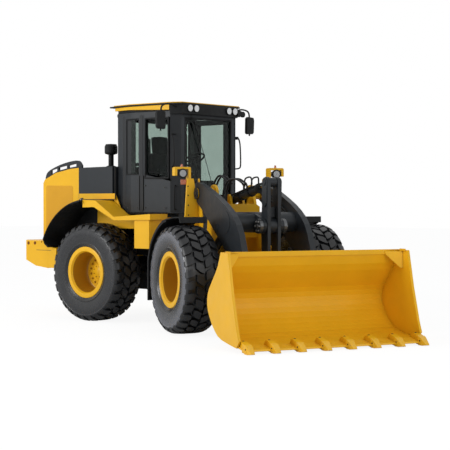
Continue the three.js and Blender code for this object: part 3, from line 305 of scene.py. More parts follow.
class Finish(Nodes):
    """A material and the few nodes that its detail comes from."""

    def __init__(self, name):
        self.material = bpy.data.materials.new(name)
        FINISHES[name] = self.material
        self.material.use_nodes = True
        super().__init__(self.material.node_tree)
        self.shader = self.tree.nodes["Principled BSDF"]
        self.place = self.add("ShaderNodeTexCoord").outputs["Object"]

    def noise(self, scale, detail=3.0, roughness=0.55, stretch=None):
        node = self.add("ShaderNodeTexNoise", Scale=scale, Detail=detail, Roughness=roughness)
        source = self.place
        if stretch:
            mapping = self.add("ShaderNodeMapping", Scale=stretch)
            self.link(source, mapping.inputs["Vector"])
            source = mapping.outputs["Vector"]
        self.link(source, node.inputs["Vector"])
        return node.outputs["Fac"]

    def span(self, source, low, high, to_low=0.0, to_high=1.0):
        ends = {"From Min": low, "From Max": high, "To Min": to_low, "To Max": to_high}
        node = self.add("ShaderNodeMapRange", **ends)
        self.link(source, node.inputs["Value"])
        return node.outputs["Result"]

    def mix(self, share, first, second):
        node = self.add("ShaderNodeMix", data_type="RGBA")
        for socket, value in ((node.inputs["A"], first), (node.inputs["B"], second)):
            colours = [s for s in node.inputs if s.name == socket.name and s.type == "RGBA"][0]
            if hasattr(value, "links"):
                self.link(value, colours)
            else:
                colours.default_value = (*value, 1)
        self.link(share, node.inputs[0])
        return [s for s in node.outputs if s.type == "RGBA"][0]

    def colour(self, socket):
        self.link(socket, self.shader.inputs["Base Color"])

    def rough(self, source, low, high):
        self.link(self.span(source, 0.3, 0.7, low, high), self.shader.inputs["Roughness"])

    def bump(self, source, distance, strength=1.0):
        node = self.add("ShaderNodeBump", Distance=distance, Strength=strength)
        self.link(source, node.inputs["Height"])
        if self.shader.inputs["Normal"].links:
            self.link(self.shader.inputs["Normal"].links[0].from_socket, node.inputs["Normal"])
        self.link(node.outputs["Normal"], self.shader.inputs["Normal"])

    def set(self, **values):
        for key, value in values.items():
            self.shader.inputs[key.replace("_", " ")].default_value = value


def shade(colour, by):
    return tuple(c * by for c in colour)


def painted(name, colour, gloss=(0.3, 0.45), corner_shade=0.35, coat=0.05, shine=0.25):
    """Sprayed paint on steel: faint mottle, orange peel, and painted shade that darkens the corners and
    recesses.
    """
    made = Finish(name)
    mottle = made.span(made.noise(2.2, 5), 0.35, 0.65)
    body = made.mix(mottle, shade(colour, 0.93), colour)
    # Ambient occlusion darkens the paint in corners and recesses; this is painted shade, not dirt.
    corners = made.add("ShaderNodeAmbientOcclusion", samples=8, Distance=0.12)
    painted_corner_shade = made.span(corners.outputs["AO"], 0.25, 0.85, corner_shade, 0.0)
    made.colour(made.mix(painted_corner_shade, body, shade(colour, 0.35)))
    made.rough(made.noise(9, 4), *gloss)
    made.bump(made.noise(160, 2), 0.0006, 0.35)
    made.set(Coat_Weight=coat, Coat_Roughness=0.12, Specular_IOR_Level=shine)


def moulded(name, colour, rough=(0.48, 0.66)):
    """Moulded plastic with a fine leather grain and slight fading."""
    made = Finish(name)
    fade = made.span(made.noise(3, 4), 0.3, 0.7)
    made.colour(made.mix(fade, shade(colour, 0.8), shade(colour, 1.25)))
    made.rough(made.noise(20, 4), *rough)
    made.bump(made.noise(420, 2), 0.0008, 0.4)
    made.set(Specular_IOR_Level=0.2)


def rubber(name, colour, rough=(0.5, 0.7), grain=240, shine=0.22):
    """Vulcanised rubber: soft mottle, fine grain and a bloom of dust."""
    made = Finish(name)
    bloom = made.span(made.noise(6, 6, 0.65), 0.42, 0.72)
    made.colour(made.mix(bloom, colour, tuple(c * 1.5 + 0.003 for c in colour)))
    made.rough(made.noise(14, 5), *rough)
    made.bump(made.noise(grain, 3), 0.0012, 0.35)
    made.bump(made.noise(26, 3), 0.003, 0.25)
    made.set(Specular_IOR_Level=shine)


def sidewall(name, colour, painted_sheen):
    """Smooth rubber on the side of a tyre, lightened towards grey as a painted sheen where the attribute says
    so.
    """
    made = Finish(name)
    sheen_mask = made.add("ShaderNodeAttribute", attribute_name="sheen_mask").outputs["Fac"]
    # Noise makes the painted sheen patchy.
    sheen_patches = made.span(made.noise(5, 5, 0.6), 0.3, 0.7, 0.85, 1.1)
    share = made.add("ShaderNodeMath", operation="MULTIPLY")
    made.link(sheen_mask, share.inputs[0])
    made.link(sheen_patches, share.inputs[1])
    # Mixes towards the grey of the painted sheen.
    made.colour(made.mix(share.outputs["Value"], colour, painted_sheen))
    made.rough(made.noise(14, 5), 0.2, 0.32)
    made.bump(made.noise(300, 3), 0.0012, 0.35)
    made.set(Specular_IOR_Level=0.55)


def metal(name, colour, rough=(0.16, 0.3), stretch=(1, 1, 1), scale=120):
    """Bare or plated steel with fine turning marks."""
    made = Finish(name)
    marks = made.noise(scale, 3, 0.6, stretch)
    made.colour(made.mix(made.span(marks, 0.3, 0.7), shade(colour, 0.8), colour))
    made.rough(marks, *rough)
    made.bump(marks, 0.0004, 0.3)
    made.set(Metallic=1.0)


def worn_tooth(name, colour):
    """Painted cast teeth, scuffed through to steel towards the tips."""
    made = Finish(name)
    scuff = made.span(made.noise(24, 6, 0.7), 0.6, 0.72)
    made.colour(made.mix(scuff, colour, (0.32, 0.28, 0.22)))
    made.rough(made.noise(30, 4), 0.32, 0.55)
    made.bump(made.noise(70, 4), 0.0015, 0.3)


def window(name, colour):
    """Green tinted glass that lets lamps through."""
    made = Finish(name)
    film = made.span(made.noise(5, 4), 0.3, 0.8)
    made.colour(made.mix(film, colour, shade(colour, 0.95)))
    made.set(Transmission_Weight=1.0, Roughness=0.01, IOR=1.18)
    clear = made.add("ShaderNodeBsdfTransparent", Color=(*shade(colour, 0.7), 1))
    made.blend(made.rays("Is Shadow Ray", "Is Diffuse Ray"), made.shader, clear)


def lens(name, colour, rough=0.12):
    """A moulded lamp lens with fine ribs."""
    made = Finish(name)
    ribs = made.add("ShaderNodeTexWave", bands_direction="Z", Scale=60)
    made.link(made.place, ribs.inputs["Vector"])
    made.colour(made.mix(made.span(ribs.outputs["Fac"], 0, 1), shade(colour, 0.8), colour))
    made.bump(ribs.outputs["Fac"], 0.0015, 0.4)
    made.set(Roughness=rough, Coat_Weight=0.6, Coat_Roughness=0.05)


def cloth(name, colour):
    """Coarse woven seat cloth."""
    made = Finish(name)
    weave = made.add("ShaderNodeTexVoronoi", distance="CHEBYCHEV", Scale=320)
    made.link(made.place, weave.inputs["Vector"])
    made.colour(made.mix(made.span(weave.outputs["Distance"], 0, 0.6), shade(colour, 1.5), colour))
    made.bump(weave.outputs["Distance"], 0.0015, 0.5)
    made.set(Roughness=0.9, Sheen_Weight=0.3, Sheen_Roughness=0.5)


def finishes():
    """Every finish, made once and found again by name."""
    if "yellow_paint" not in FINISHES:
        tone = paints()
        painted("yellow_paint", tuple(tone.yellow))
        painted("charcoal_paint", tuple(tone.charcoal), (0.36, 0.5), 0.5, 0.0, 0.3)
        painted("black_paint", shade(tuple(tone.charcoal), 0.45), (0.36, 0.5), 0.4, 0.0, 0.3)
        painted("shaded_yellow", tuple(c * k for c, k in zip(tone.yellow, (0.8, 0.72, 0.8))))
        # A darker copy of the yellow, used as painted shade inside the rim barrels and on the disc bolts deep
        # in them.
        painted("barrel_painted_shade", tuple(c * k for c, k in zip(tone.yellow, (0.5, 0.42, 0.8))))
        moulded("black_plastic", tuple(tone.black))
        rubber("tyre_rubber", tuple(tone.rubber), (0.3, 0.46), 240, 0.42)
        # The third colour is the grey of the painted sheen on the sidewalls.
        sidewall("sidewall_rubber", tuple(tone.sidewall), (0.1, 0.104, 0.122))
        rubber("hose_rubber", (0.012, 0.012, 0.013), (0.4, 0.55), 600)
        metal("chrome_rod", (0.72, 0.73, 0.74), (0.08, 0.16), (1, 1, 30))
        metal("pin_steel", (0.42, 0.41, 0.4), (0.3, 0.5))
        metal("rust_steel", (0.26, 0.1, 0.035), (0.5, 0.7))
        metal("mirror_glass", (0.75, 0.77, 0.78), (0.03, 0.08), (1, 1, 1), 4)
        metal("charcoal_steel", (0.12, 0.125, 0.13), (0.35, 0.5))
        metal("dark_steel", (0.07, 0.068, 0.065), (0.4, 0.6))
        worn_tooth("tooth_paint", tuple(tone.yellow))
        window("cab_glass", tuple(tone.glass))
        lens("clear_lens", (0.82, 0.84, 0.85), 0.08)
        lens("lamp_lens", (0.36, 0.37, 0.38), 0.06)
        lens("red_lens", (0.5, 0.11, 0.03))
        cloth("seat_cloth", (0.035, 0.036, 0.04))
    return FINISHES


# ---- settings

def length(name, value, text):
    return bpy.props.FloatProperty(name=name, description=text, default=value, unit="LENGTH")


def count(name, value, text):
    return bpy.props.IntProperty(name=name, description=text, default=value, min=3)


def tint(name, value, text):
    return bpy.props.FloatVectorProperty(
        name=name, description=text, default=value, subtype="COLOR", size=3, min=0, max=1)


class LoaderSizes(bpy.types.PropertyGroup):
    """Sizes that the pieces are drawn from, in metres."""
    tyre_radius: length("Tyre radius", 0.745, "Radius over the tread")
    tread_depth: length("Tread depth", 0.042, "Height of the tread blocks")
    tread_pitches: count("Tread pitches", 28, "Blocks round each row of the tread")
    wheel_bolts: count("Wheel bolts", 16, "Bolts round the disc of each wheel")
    axle_x: length("Axle distance", 1.425, "From the steering pivot to each axle")
    wheel_y: length("Wheel offset", 0.965, "From the middle of the machine to a wheel's centre")
    bucket_half: length("Bucket half width", 1.275, "Half of the bucket's outer width")
    teeth: count("Bucket teeth", 8, "Teeth along the cutting edge")


class LoaderPaints(bpy.types.PropertyGroup):
    """Main colours of the finishes."""
    yellow: tint("Yellow", (0.84, 0.455, 0.012), "Body paint")
    charcoal: tint("Charcoal", (0.015, 0.0185, 0.0225), "Paint of the boom and the cab")
    black: tint("Black", (0.006, 0.0065, 0.007), "Moulded plastic")
    rubber: tint("Rubber", (0.0048, 0.0054, 0.0066), "Tread of the tyres")
    sidewall: tint("Sidewall", (0.0042, 0.0048, 0.006), "Side of the tyres")
    glass: tint("Glass", (0.51, 0.587, 0.55), "Cab windows")


class LoaderStage(bpy.types.PropertyGroup):
    """Camera and lamps."""
    lens: bpy.props.FloatProperty(name="Lens", description="Focal length in millimetres", default=101.26)
    camera: bpy.props.FloatVectorProperty(
        name="Camera", description="Where the camera stands", default=(12.108, -13.388, 1.813),
        subtype="TRANSLATION")
    bearing: bpy.props.FloatProperty(
        name="Bearing", description="Camera's turn about the vertical", default=math.radians(41.016),
        unit="ROTATION")
    climb: bpy.props.FloatProperty(
        name="Climb", description="Camera's tilt below level", default=math.radians(1.0708),
        unit="ROTATION")
    key: bpy.props.FloatProperty(name="Key", description="Power of the main lamp in watts", default=980)
    sky: bpy.props.FloatProperty(name="Sky", description="Strength of the light from all round", default=0.6)


class Piece(bpy.types.Operator):
    """Base of the operators that build pieces."""
    bl_options = {"REGISTER", "UNDO"}


# ---- wheels

def lug(bm, rows):
    """One tread block. A row holds an outer radius and offset, a root radius and offset, and two angles."""
    made = bmesh.ops.create_grid(bm, x_segments=1, y_segments=len(rows) - 1, size=1)
    top = {}
    for vert in made["verts"]:
        row = round((vert.co.y + 1) / 2 * (len(rows) - 1))
        top[vert] = (row, vert.co.x > 0)
    faces = unique(face for vert in made["verts"] for face in vert.link_faces)
    low = verts_of(bmesh.ops.extrude_face_region(bm, geom=faces))
    root = {}
    for vert in low:
        near = min(top, key=lambda other: (other.co - vert.co).length)
        root[vert] = top[near]
    for verts, outer, flare in ((top, True, 0), (root, False, 0.006)):
        for vert, (row, right) in verts.items():
            r1, y1, r0, y0, left_angle, right_angle = rows[row]
            angle = right_angle + flare if right else left_angle - flare
            radius, y = (r1, y1) if outer else (r0, y0)
            vert.co = Vector((radius * math.sin(angle), y, radius * math.cos(angle)))
    return list(top) + low


def tread_row(bm, places, start, skew, share, pitch):
    """Blocks of one row: places are outer and root points, skew turns the block as it goes outward."""
    first = places[0][1]
    rows = []
    for r1, y1, r0, y0, narrow in places:
        middle = start + skew * (abs(y1) - abs(first))
        half = pitch * share * narrow / 2
        rows.append((r1, y1, r0, y0, middle - half, middle + half))
    return lug(bm, rows)


def tyre_mesh():
    s = sizes()
    bm = bmesh.new()
    top, root = s.tyre_radius, s.tyre_radius - s.tread_depth
    side = [(0.345, 0.2), (0.368, 0.205), (0.38, 0.222), (0.398, 0.236), (0.425, 0.245), (0.432, 0.252),
            (0.444, 0.252), (0.45, 0.248), (0.5, 0.257), (0.555, 0.262), (0.6, 0.262), (0.64, 0.257),
            (0.646, 0.26), (0.658, 0.256), (0.664, 0.25), (0.69, 0.232), (root - 0.006, 0.2),
            (root - 0.001, 0.12), (root, 0)]
    profile = side + [(r, -y) for r, y in side[-2::-1]]
    lathe(bm, profile, (0, 0, 0), "Y", 120)
    pitch = 2 * math.pi / s.tread_pitches
    crown = [(top, 0.01, root - 0.004, 0.006, 0.86), (top, 0.045, root - 0.004, 0.045, 1.05),
             (top - 0.001, 0.085, root - 0.004, 0.085, 1), (top - 0.003, 0.125, root - 0.004, 0.129, 0.72)]
    shoulder = [
        (top - 0.004, 0.142, root - 0.006, 0.138, 0.62), (top - 0.007, 0.17, root - 0.008, 0.17, 0.98),
        (top - 0.014, 0.2, root - 0.014, 0.196, 1), (top - 0.03, 0.232, root - 0.022, 0.214, 0.94),
        (top - 0.062, 0.256, root - 0.04, 0.228, 0.86), (top - 0.095, 0.263, root - 0.062, 0.246, 0.74)]
    first = []
    for sign, shift in ((1, 0), (-1, 0.5)):
        def across(places):
            return [(r1, sign * y1, r0, sign * y0, narrow) for r1, y1, r0, y0, narrow in places]
        first += tread_row(bm, across(crown), pitch * shift, -0.75, 0.72, pitch)
        first += tread_row(bm, across(shoulder), pitch * (shift + 0.13), 0.42, 0.66, pitch)
    edges = unique(edge for vert in first for edge in vert.link_edges)
    faces = unique(face for vert in first for face in vert.link_faces)
    bmesh.ops.spin(
        bm, geom=first + edges + faces, cent=(0, 0, 0), axis=(0, 1, 0), angle=2 * math.pi - pitch,
        steps=s.tread_pitches - 1, use_duplicate=True)
    return bm


def rim_mesh():
    bm = bmesh.new()
    lip = [(0.331, 0.19), (0.344, 0.203), (0.37, 0.21), (0.386, 0.214), (0.39, 0.223), (0.385, 0.232),
           (0.374, 0.236), (0.322, 0.236), (0.315, 0.228), (0.312, 0.212)]
    inside = [(0.305, 0.205), (0.302, 0.1), (0.298, -0.02), (0.288, -0.058), (0.268, -0.074),
              (0.255, -0.0765), (0.16, -0.0765), (0.156, -0.072), (0.112, -0.072), (0.106, -0.078),
              (0.106, -0.1), (0.262, -0.1), (0.3, -0.086)]
    back = [(0.305, -0.2), (0.322, -0.232), (0.374, -0.236), (0.385, -0.232), (0.39, -0.223),
            (0.386, -0.214), (0.37, -0.21), (0.344, -0.203), (0.331, -0.19)]
    lathe(bm, lip + inside + back, (0, 0, 0), "Y", 128)
    return bm


def hub_mesh():
    bm = bmesh.new()
    lathe(bm, [(0, -0.018), (0.06, -0.018), (0.068, -0.024), (0.098, -0.026), (0.112, -0.034),
               (0.118, -0.06), (0.128, -0.08), (0.128, -0.1), (0, -0.1)], (0, 0, 0), "Y", 64, closed=False)
    return bm


def bolts_mesh():
    s = sizes()
    bm = bmesh.new()
    for total, radius, height, size in ((s.wheel_bolts, 0.198, -0.0765, 0.0125), (8, 0.084, -0.026, 0.007)):
        for k in range(total):
            angle = 2 * math.pi * (k + 0.5) / total
            at = (radius * math.sin(angle), height, radius * math.cos(angle))
            bolt(bm, at, (0, 1, 0), size, size * 1.3)
    return bm


# Where the rim's barrel takes its painted shade.
BARREL_RADII, BARREL_HALF = (0.27, 0.308), 0.2
# Strength on front and rear tyres, and the radii, of the painted sheen ring on the sidewalls.
FRONT_SHEEN, REAR_SHEEN = 1, 0.1
SHEEN_START, SHEEN_RISE, SHEEN_END, SHEEN_FALL = 0.48, 0.14, 0.685, 0.025
SHOULDER_DROP, SIDE_OFFSET = 0.083, 0.18


class LOADER_OT_wheels(Piece):
    """Four tyres with block treads, deep dished rims, and their hubs and bolts"""
    bl_idname = "loader.wheels"
    bl_label = "Wheels"

    def execute(self, context):
        s = sizes()
        for end, half, sign in (("rear", REAR, -1), ("front", FRONT, 1)):
            for side, out in SIDES:
                place = half @ Matrix.Translation((sign * s.axle_x, out * s.wheel_y, s.tyre_radius))
                body = f"wheel_{end}_{side}"
                self.tyre(body, f"{end}_{side}", place, out, FRONT_SHEEN if end == "front" else REAR_SHEEN)
                self.rim(body, f"{end}_{side}", place, out)
                # The disc bolts take the darker barrel yellow as painted shade; the hubs keep the plain
                # yellow.
                for make, name, finish, bevel in ((hub_mesh, "hub", "yellow_paint", 0.0012),
                                                  (bolts_mesh, "bolts", "barrel_painted_shade", 0)):
                    bm = make()
                    to_side(bm, out)
                    keep(bm, f"{name}_skin_{end}_{side}", body, finish, place, bevel=bevel)
        return {"FINISHED"}

    def rim(self, body, corner, place, out):
        """The inside of the rim, its barrel, takes a darker yellow as painted shade; its lip keeps the plain
        yellow.
        """
        bm = rim_mesh()
        to_side(bm, out)
        rim = keep(bm, f"rim_skin_{corner}", body, "yellow_paint", place, [f"rim_{corner}"])
        # The second slot is the darker yellow of painted shade, given to the barrel faces below.
        rim.data.materials.append(finishes()["barrel_painted_shade"])
        back = place.inverted()
        for face in rim.data.polygons:
            at = back @ face.center
            if BARREL_RADII[0] < math.hypot(at.x, at.z) < BARREL_RADII[1] and abs(at.y) < BARREL_HALF:
                face.material_index = 1

    def tyre(self, body, corner, place, out, painted_sheen):
        """The smooth sides of a tyre have their own, glossier rubber, with a painted sheen in a ring near the
        shoulder.
        """
        bm = tyre_mesh()
        to_side(bm, out)
        tyre = keep(bm, f"tyre_skin_{corner}", body, "tyre_rubber", place, [f"tyre_{corner}"], 0.005, 30, 1)
        tyre.data.materials.append(finishes()["sidewall_rubber"])
        back = place.inverted()
        # A ring of painted sheen, strongest on the front tyres and faint on the rear.
        sheen_mask = tyre.data.attributes.new("sheen_mask", "FLOAT", "POINT")
        for vertex in tyre.data.vertices:
            at = back @ vertex.co
            far = math.hypot(at.x, at.z)
            rise = min(max((far - SHEEN_START) / SHEEN_RISE, 0), 1)
            fall = min(max((SHEEN_END - far) / SHEEN_FALL, 0), 1)
            sheen_mask.data[vertex.index].value = painted_sheen * rise * fall
        side_radius = sizes().tyre_radius - SHOULDER_DROP
        for face in tyre.data.polygons:
            at = back @ face.center
            smooth_side = math.hypot(at.x, at.z) < side_radius and abs(at.y) > SIDE_OFFSET
            if smooth_side and len(face.vertices) == 4:
                face.material_index = 1


# ---- bucket

BUCKET_TOP = (3.337, 1.188)
MOUTH = ((3.571, 1.187), (3.686, 0.722), (3.822, 0.284), (3.88, 0.15))


class LOADER_OT_bucket(Piece):
    """Cutting edge with adapters and teeth, top lip, corner gussets and edge strips of the bucket"""
    bl_idname = "loader.bucket"
    bl_label = "Bucket edges"

    def execute(self, context):
        s = sizes()
        self.edge(s)
        self.tooth_tips(s)
        self.lip(s)
        return {"FINISHED"}

    def spots(self, s):
        outer = s.bucket_half - 0.07
        return [outer - 2 * outer * k / (s.teeth - 1) for k in range(s.teeth)]

    def edge(self, s):
        bm = bmesh.new()
        blade = [(3.775, 0.064), (3.985, 0.032), (4, 0.036), (3.985, 0.056), (3.775, 0.09)]
        slab(bm, blade, 0.025 - s.bucket_half, s.bucket_half - 0.025)
        keep(bm, "edge_blade", "bucket", "tooth_paint", replaces=["cutting_edge"], bevel=0.003)

    def tooth_tips(self, s):
        adapter = [(3.765, 0.084), (3.78, 0.118), (3.82, 0.146), (3.87, 0.15), (3.985, 0.118), (4.03, 0.096),
                   (4.03, 0.02), (3.98, 0.012), (3.9, 0.022), (3.905, 0.05), (3.99, 0.036), (3.99, 0.054)]
        tip = [(3.975, 0.124), (4.01, 0.112), (4.1, 0.046), (4.124, 0.024), (4.122, 0.016), (4.06, 0.008),
               (3.975, 0.008)]
        arms, points, bolts = bmesh.new(), bmesh.new(), bmesh.new()
        for y in self.spots(s):
            verts = slab(arms, adapter, y - 0.044, y + 0.044)
            heel = [v for v in verts if v.co.x < 3.83]
            bmesh.ops.scale(arms, vec=(1, 0.7, 1), verts=heel, space=Matrix.Translation((0, -y, 0)))
            verts = slab(points, tip, y - 0.047, y + 0.047)
            nose = [v for v in verts if v.co.x > 4.09]
            bmesh.ops.scale(points, vec=(1, 0.6, 1), verts=nose, space=Matrix.Translation((0, -y, 0)))
            bolt(bolts, (3.85, y, 0.149), (0.05, 0, 1), 0.01, 0.006)
            pin(bolts, (4.01, 0.066), 0.009, y - 0.05, y + 0.05, 12)
        keep(arms, "tooth_adapters", "bucket", "yellow_paint", bevel=0.005)
        keep(points, "tooth_points", "bucket", "tooth_paint", bevel=0.005)
        keep(bolts, "tooth_bolts", "bucket", "dark_steel")

    def lip(self, s):
        x, z = BUCKET_TOP
        half = s.bucket_half
        bm = bmesh.new()
        slab(bm, [(x - 0.006, z - 0.06), (x - 0.006, z + 0.004), (x + 0.03, z + 0.006), (x + 0.03, z - 0.012),
                  (x + 0.018, z - 0.06)], -half + 0.002, half - 0.002)
        for side in (-1, 1):
            low, high = sorted((side * (half - 0.001), side * (half + 0.01)))
            inner = [(a - 0.052, b) for a, b in MOUTH]
            slab(bm, list(MOUTH) + inner[::-1], low, high)
            corner = [(side * (half - 0.24), z - 0.02), (side * (half - 0.03), z - 0.02),
                      (side * (half - 0.026), z - 0.23), (side * (half - 0.06), z - 0.235),
                      (side * (half - 0.225), z - 0.06)]
            verts = slab(bm, corner, x + 0.02, x + 0.034, "YZ")
            outer = [v for v in verts if abs(v.co.y) > half - 0.1]
            bmesh.ops.translate(bm, vec=(0.1, 0, 0), verts=outer)
            low, high = sorted((side * (half - 0.052), side * (half - 0.024)))
            block(bm, x + 0.09, x + 0.2, low, high, z - 0.012, z + 0.016)
        back = [(3.33, 1.17), (3.236, 1.003), (3.067, 0.821)]
        for y in (-0.95, -0.32, 0.32, 0.95):
            slab(bm, back + [(3.052, 0.85), (3.196, 1.04), (3.29, 1.18)], y - 0.01, y + 0.01)
        keep(bm, "bucket_lip", "bucket", "yellow_paint", bevel=0.003)


# ---- cab

CAB_PLAN = ((0, 0.6), (-0.14, 0.68), (-0.93, 0.72), (-1.28, 0.65))


def cab_outline(grow, front=0, back=0):
    """The cab's plan, grown all round and then further at its front and its back."""
    half = []
    for x, y in CAB_PLAN:
        shift = grow + front if x == 0 else -grow - back if x < -1.2 else 0
        half.append((x + shift, y + grow))
    return half + [(x, -y) for x, y in reversed(half)]


def ring(bm, box, width, low, high, plane):
    """A flat rectangular frame, left open in the middle; the box holds its ends in both axes."""
    u0, u1, v0, v1 = box
    outline = [(u0, v0), (u1, v0), (u1, v1), (u0, v1)]
    middle = Vector((sum(p[0] for p in outline) / len(outline), sum(p[1] for p in outline) / len(outline)))
    inner = [tuple(Vector(p) - Vector((math.copysign(width, (Vector(p) - middle).x),
                                       math.copysign(width, (Vector(p) - middle).y)))) for p in outline]
    for k in range(len(outline)):
        n = (k + 1) % len(outline)
        slab(bm, [outline[k], outline[n], inner[n], inner[k]], low, high, plane)
    bmesh.ops.remove_doubles(bm, verts=bm.verts, dist=1e-5)
    shared = [f for f in bm.faces if all(len(e.link_faces) > 2 for e in f.edges)]
    bmesh.ops.delete(bm, geom=shared, context="FACES")


SWELL, STUFFED_CUTS = 0.18, 6


def crowned(bm, x0, x1, y0, y1, z0, z1):
    """A stuffed block: its faces bulge and its sides pull in between the corners."""
    before = len(bm.verts)
    made = bmesh.ops.create_cube(bm, size=2)["verts"]
    edges = list({e for v in made for e in v.link_edges})
    bmesh.ops.subdivide_edges(bm, edges=edges, cuts=STUFFED_CUTS, use_grid_fill=True)
    verts = list(bm.verts)[before:]
    half = Vector(((x1 - x0) / 2, (y1 - y0) / 2, (z1 - z0) / 2))
    middle = Vector(((x0 + x1) / 2, (y0 + y1) / 2, (z0 + z1) / 2))
    for v in verts:
        p = v.co
        soft = Vector((p.x * math.sqrt(1 - SWELL * (p.y ** 2 + p.z ** 2) / 2),
                       p.y * math.sqrt(1 - SWELL * (p.x ** 2 + p.z ** 2) / 2),
                       p.z * math.sqrt(1 - SWELL * (p.x ** 2 + p.y ** 2) / 2)))
        v.co = Vector((soft.x * half.x, soft.y * half.y, soft.z * half.z)) + middle
    return verts


class LOADER_OT_roof(Piece):
    """Cab roof with its visor, side bands, front header and lamps"""
    bl_idname = "loader.roof"
    bl_label = "Roof"

    def execute(self, context):
        bm = bmesh.new()
        slab(bm, cab_outline(0.046, 0.01), 3.262, 3.276, "XY")
        slab(bm, cab_outline(-0.03), 3.27, 3.283, "XY")
        keep(bm, "roof_skin", "rear", "yellow_paint", replaces=["cab_roof"], bevel=0.006)
        bm = bmesh.new()
        slab(bm, cab_outline(0.052, 0.014, 0.075), 3.24, 3.262, "XY")
        slab(bm, cab_outline(-0.004, -0.01), 3.152, 3.242, "XY")
        keep(bm, "roof_edge", "rear", "black_plastic", bevel=0.005)
        bm = bmesh.new()
        for side in (-1, 1):
            band = [(-0.175, side * 0.69), (-0.93, side * 0.728), (-1.3, side * 0.655),
                    (-1.3, side * 0.69), (-0.94, side * 0.762), (-0.13, side * 0.722)]
            verts = slab(bm, band, 3.16, 3.238, "XY")
            rear_low = [v for v in verts if v.co.x < -0.5 and v.co.z < 3.2]
            bmesh.ops.translate(bm, vec=(0, 0, 0.03), verts=rear_low)
        slab(bm, [(-1.284, 0.62), (-1.284, -0.62), (-1.312, -0.62), (-1.312, 0.62)], 3.19, 3.238, "XY")
        keep(bm, "roof_bands", "rear", "yellow_paint", bevel=0.005)
        bm = bmesh.new()
        slab(bm, [(-0.13, 0.715), (0.03, 0.64), (0.078, 0.56), (0.078, -0.56), (0.03, -0.64),
                  (-0.13, -0.715), (-0.15, -0.66), (0, -0.56), (0, 0.56), (-0.15, 0.66)], 3.096, 3.242, "XY")
        keep(bm, "roof_header", "rear", "black_plastic", bevel=0.008)
        self.lamps()
        return {"FINISHED"}

    def lamps(self):
        shells, lenses = bmesh.new(), bmesh.new()
        spots = [((0.078, y, 3.186), (1, 0, -0.05)) for y in (-0.505, -0.368, 0.368, 0.505)]
        spots += [((-1.372, y, 3.12), (-1, 0, -0.35)) for y in (-0.5, 0.5)]
        for at, facing in spots:
            at, facing = Vector(at), Vector(facing).normalized()
            rod(shells, at - facing * 0.04, at + facing * 0.016, 0.058, 32)
            rod(lenses, at + facing * 0.012, at + facing * 0.022, 0.049, 32)
        for y in (-0.5, 0.5):
            block(shells, -1.36, -1.3, y - 0.012, y + 0.012, 3.15, 3.245)
        keep(shells, "roof_lamp_shells", "rear", "black_plastic", bevel=0.003)
        keep(lenses, "roof_lamp_lenses", "rear", "clear_lens", bevel=0.003)
        bm = bmesh.new()
        for y in (0.6, 0.69):
            rod(bm, (0.07, y, 3.15), (0.105, y, 3.15), 0.045, 24)
        pipe(bm, [(-0.02, 0.62, 3.205), (0.06, 0.645, 3.2), (0.09, 0.7, 3.17)], 0.012)
        keep(bm, "corner_lamps", "rear", "black_plastic", bevel=0.004)


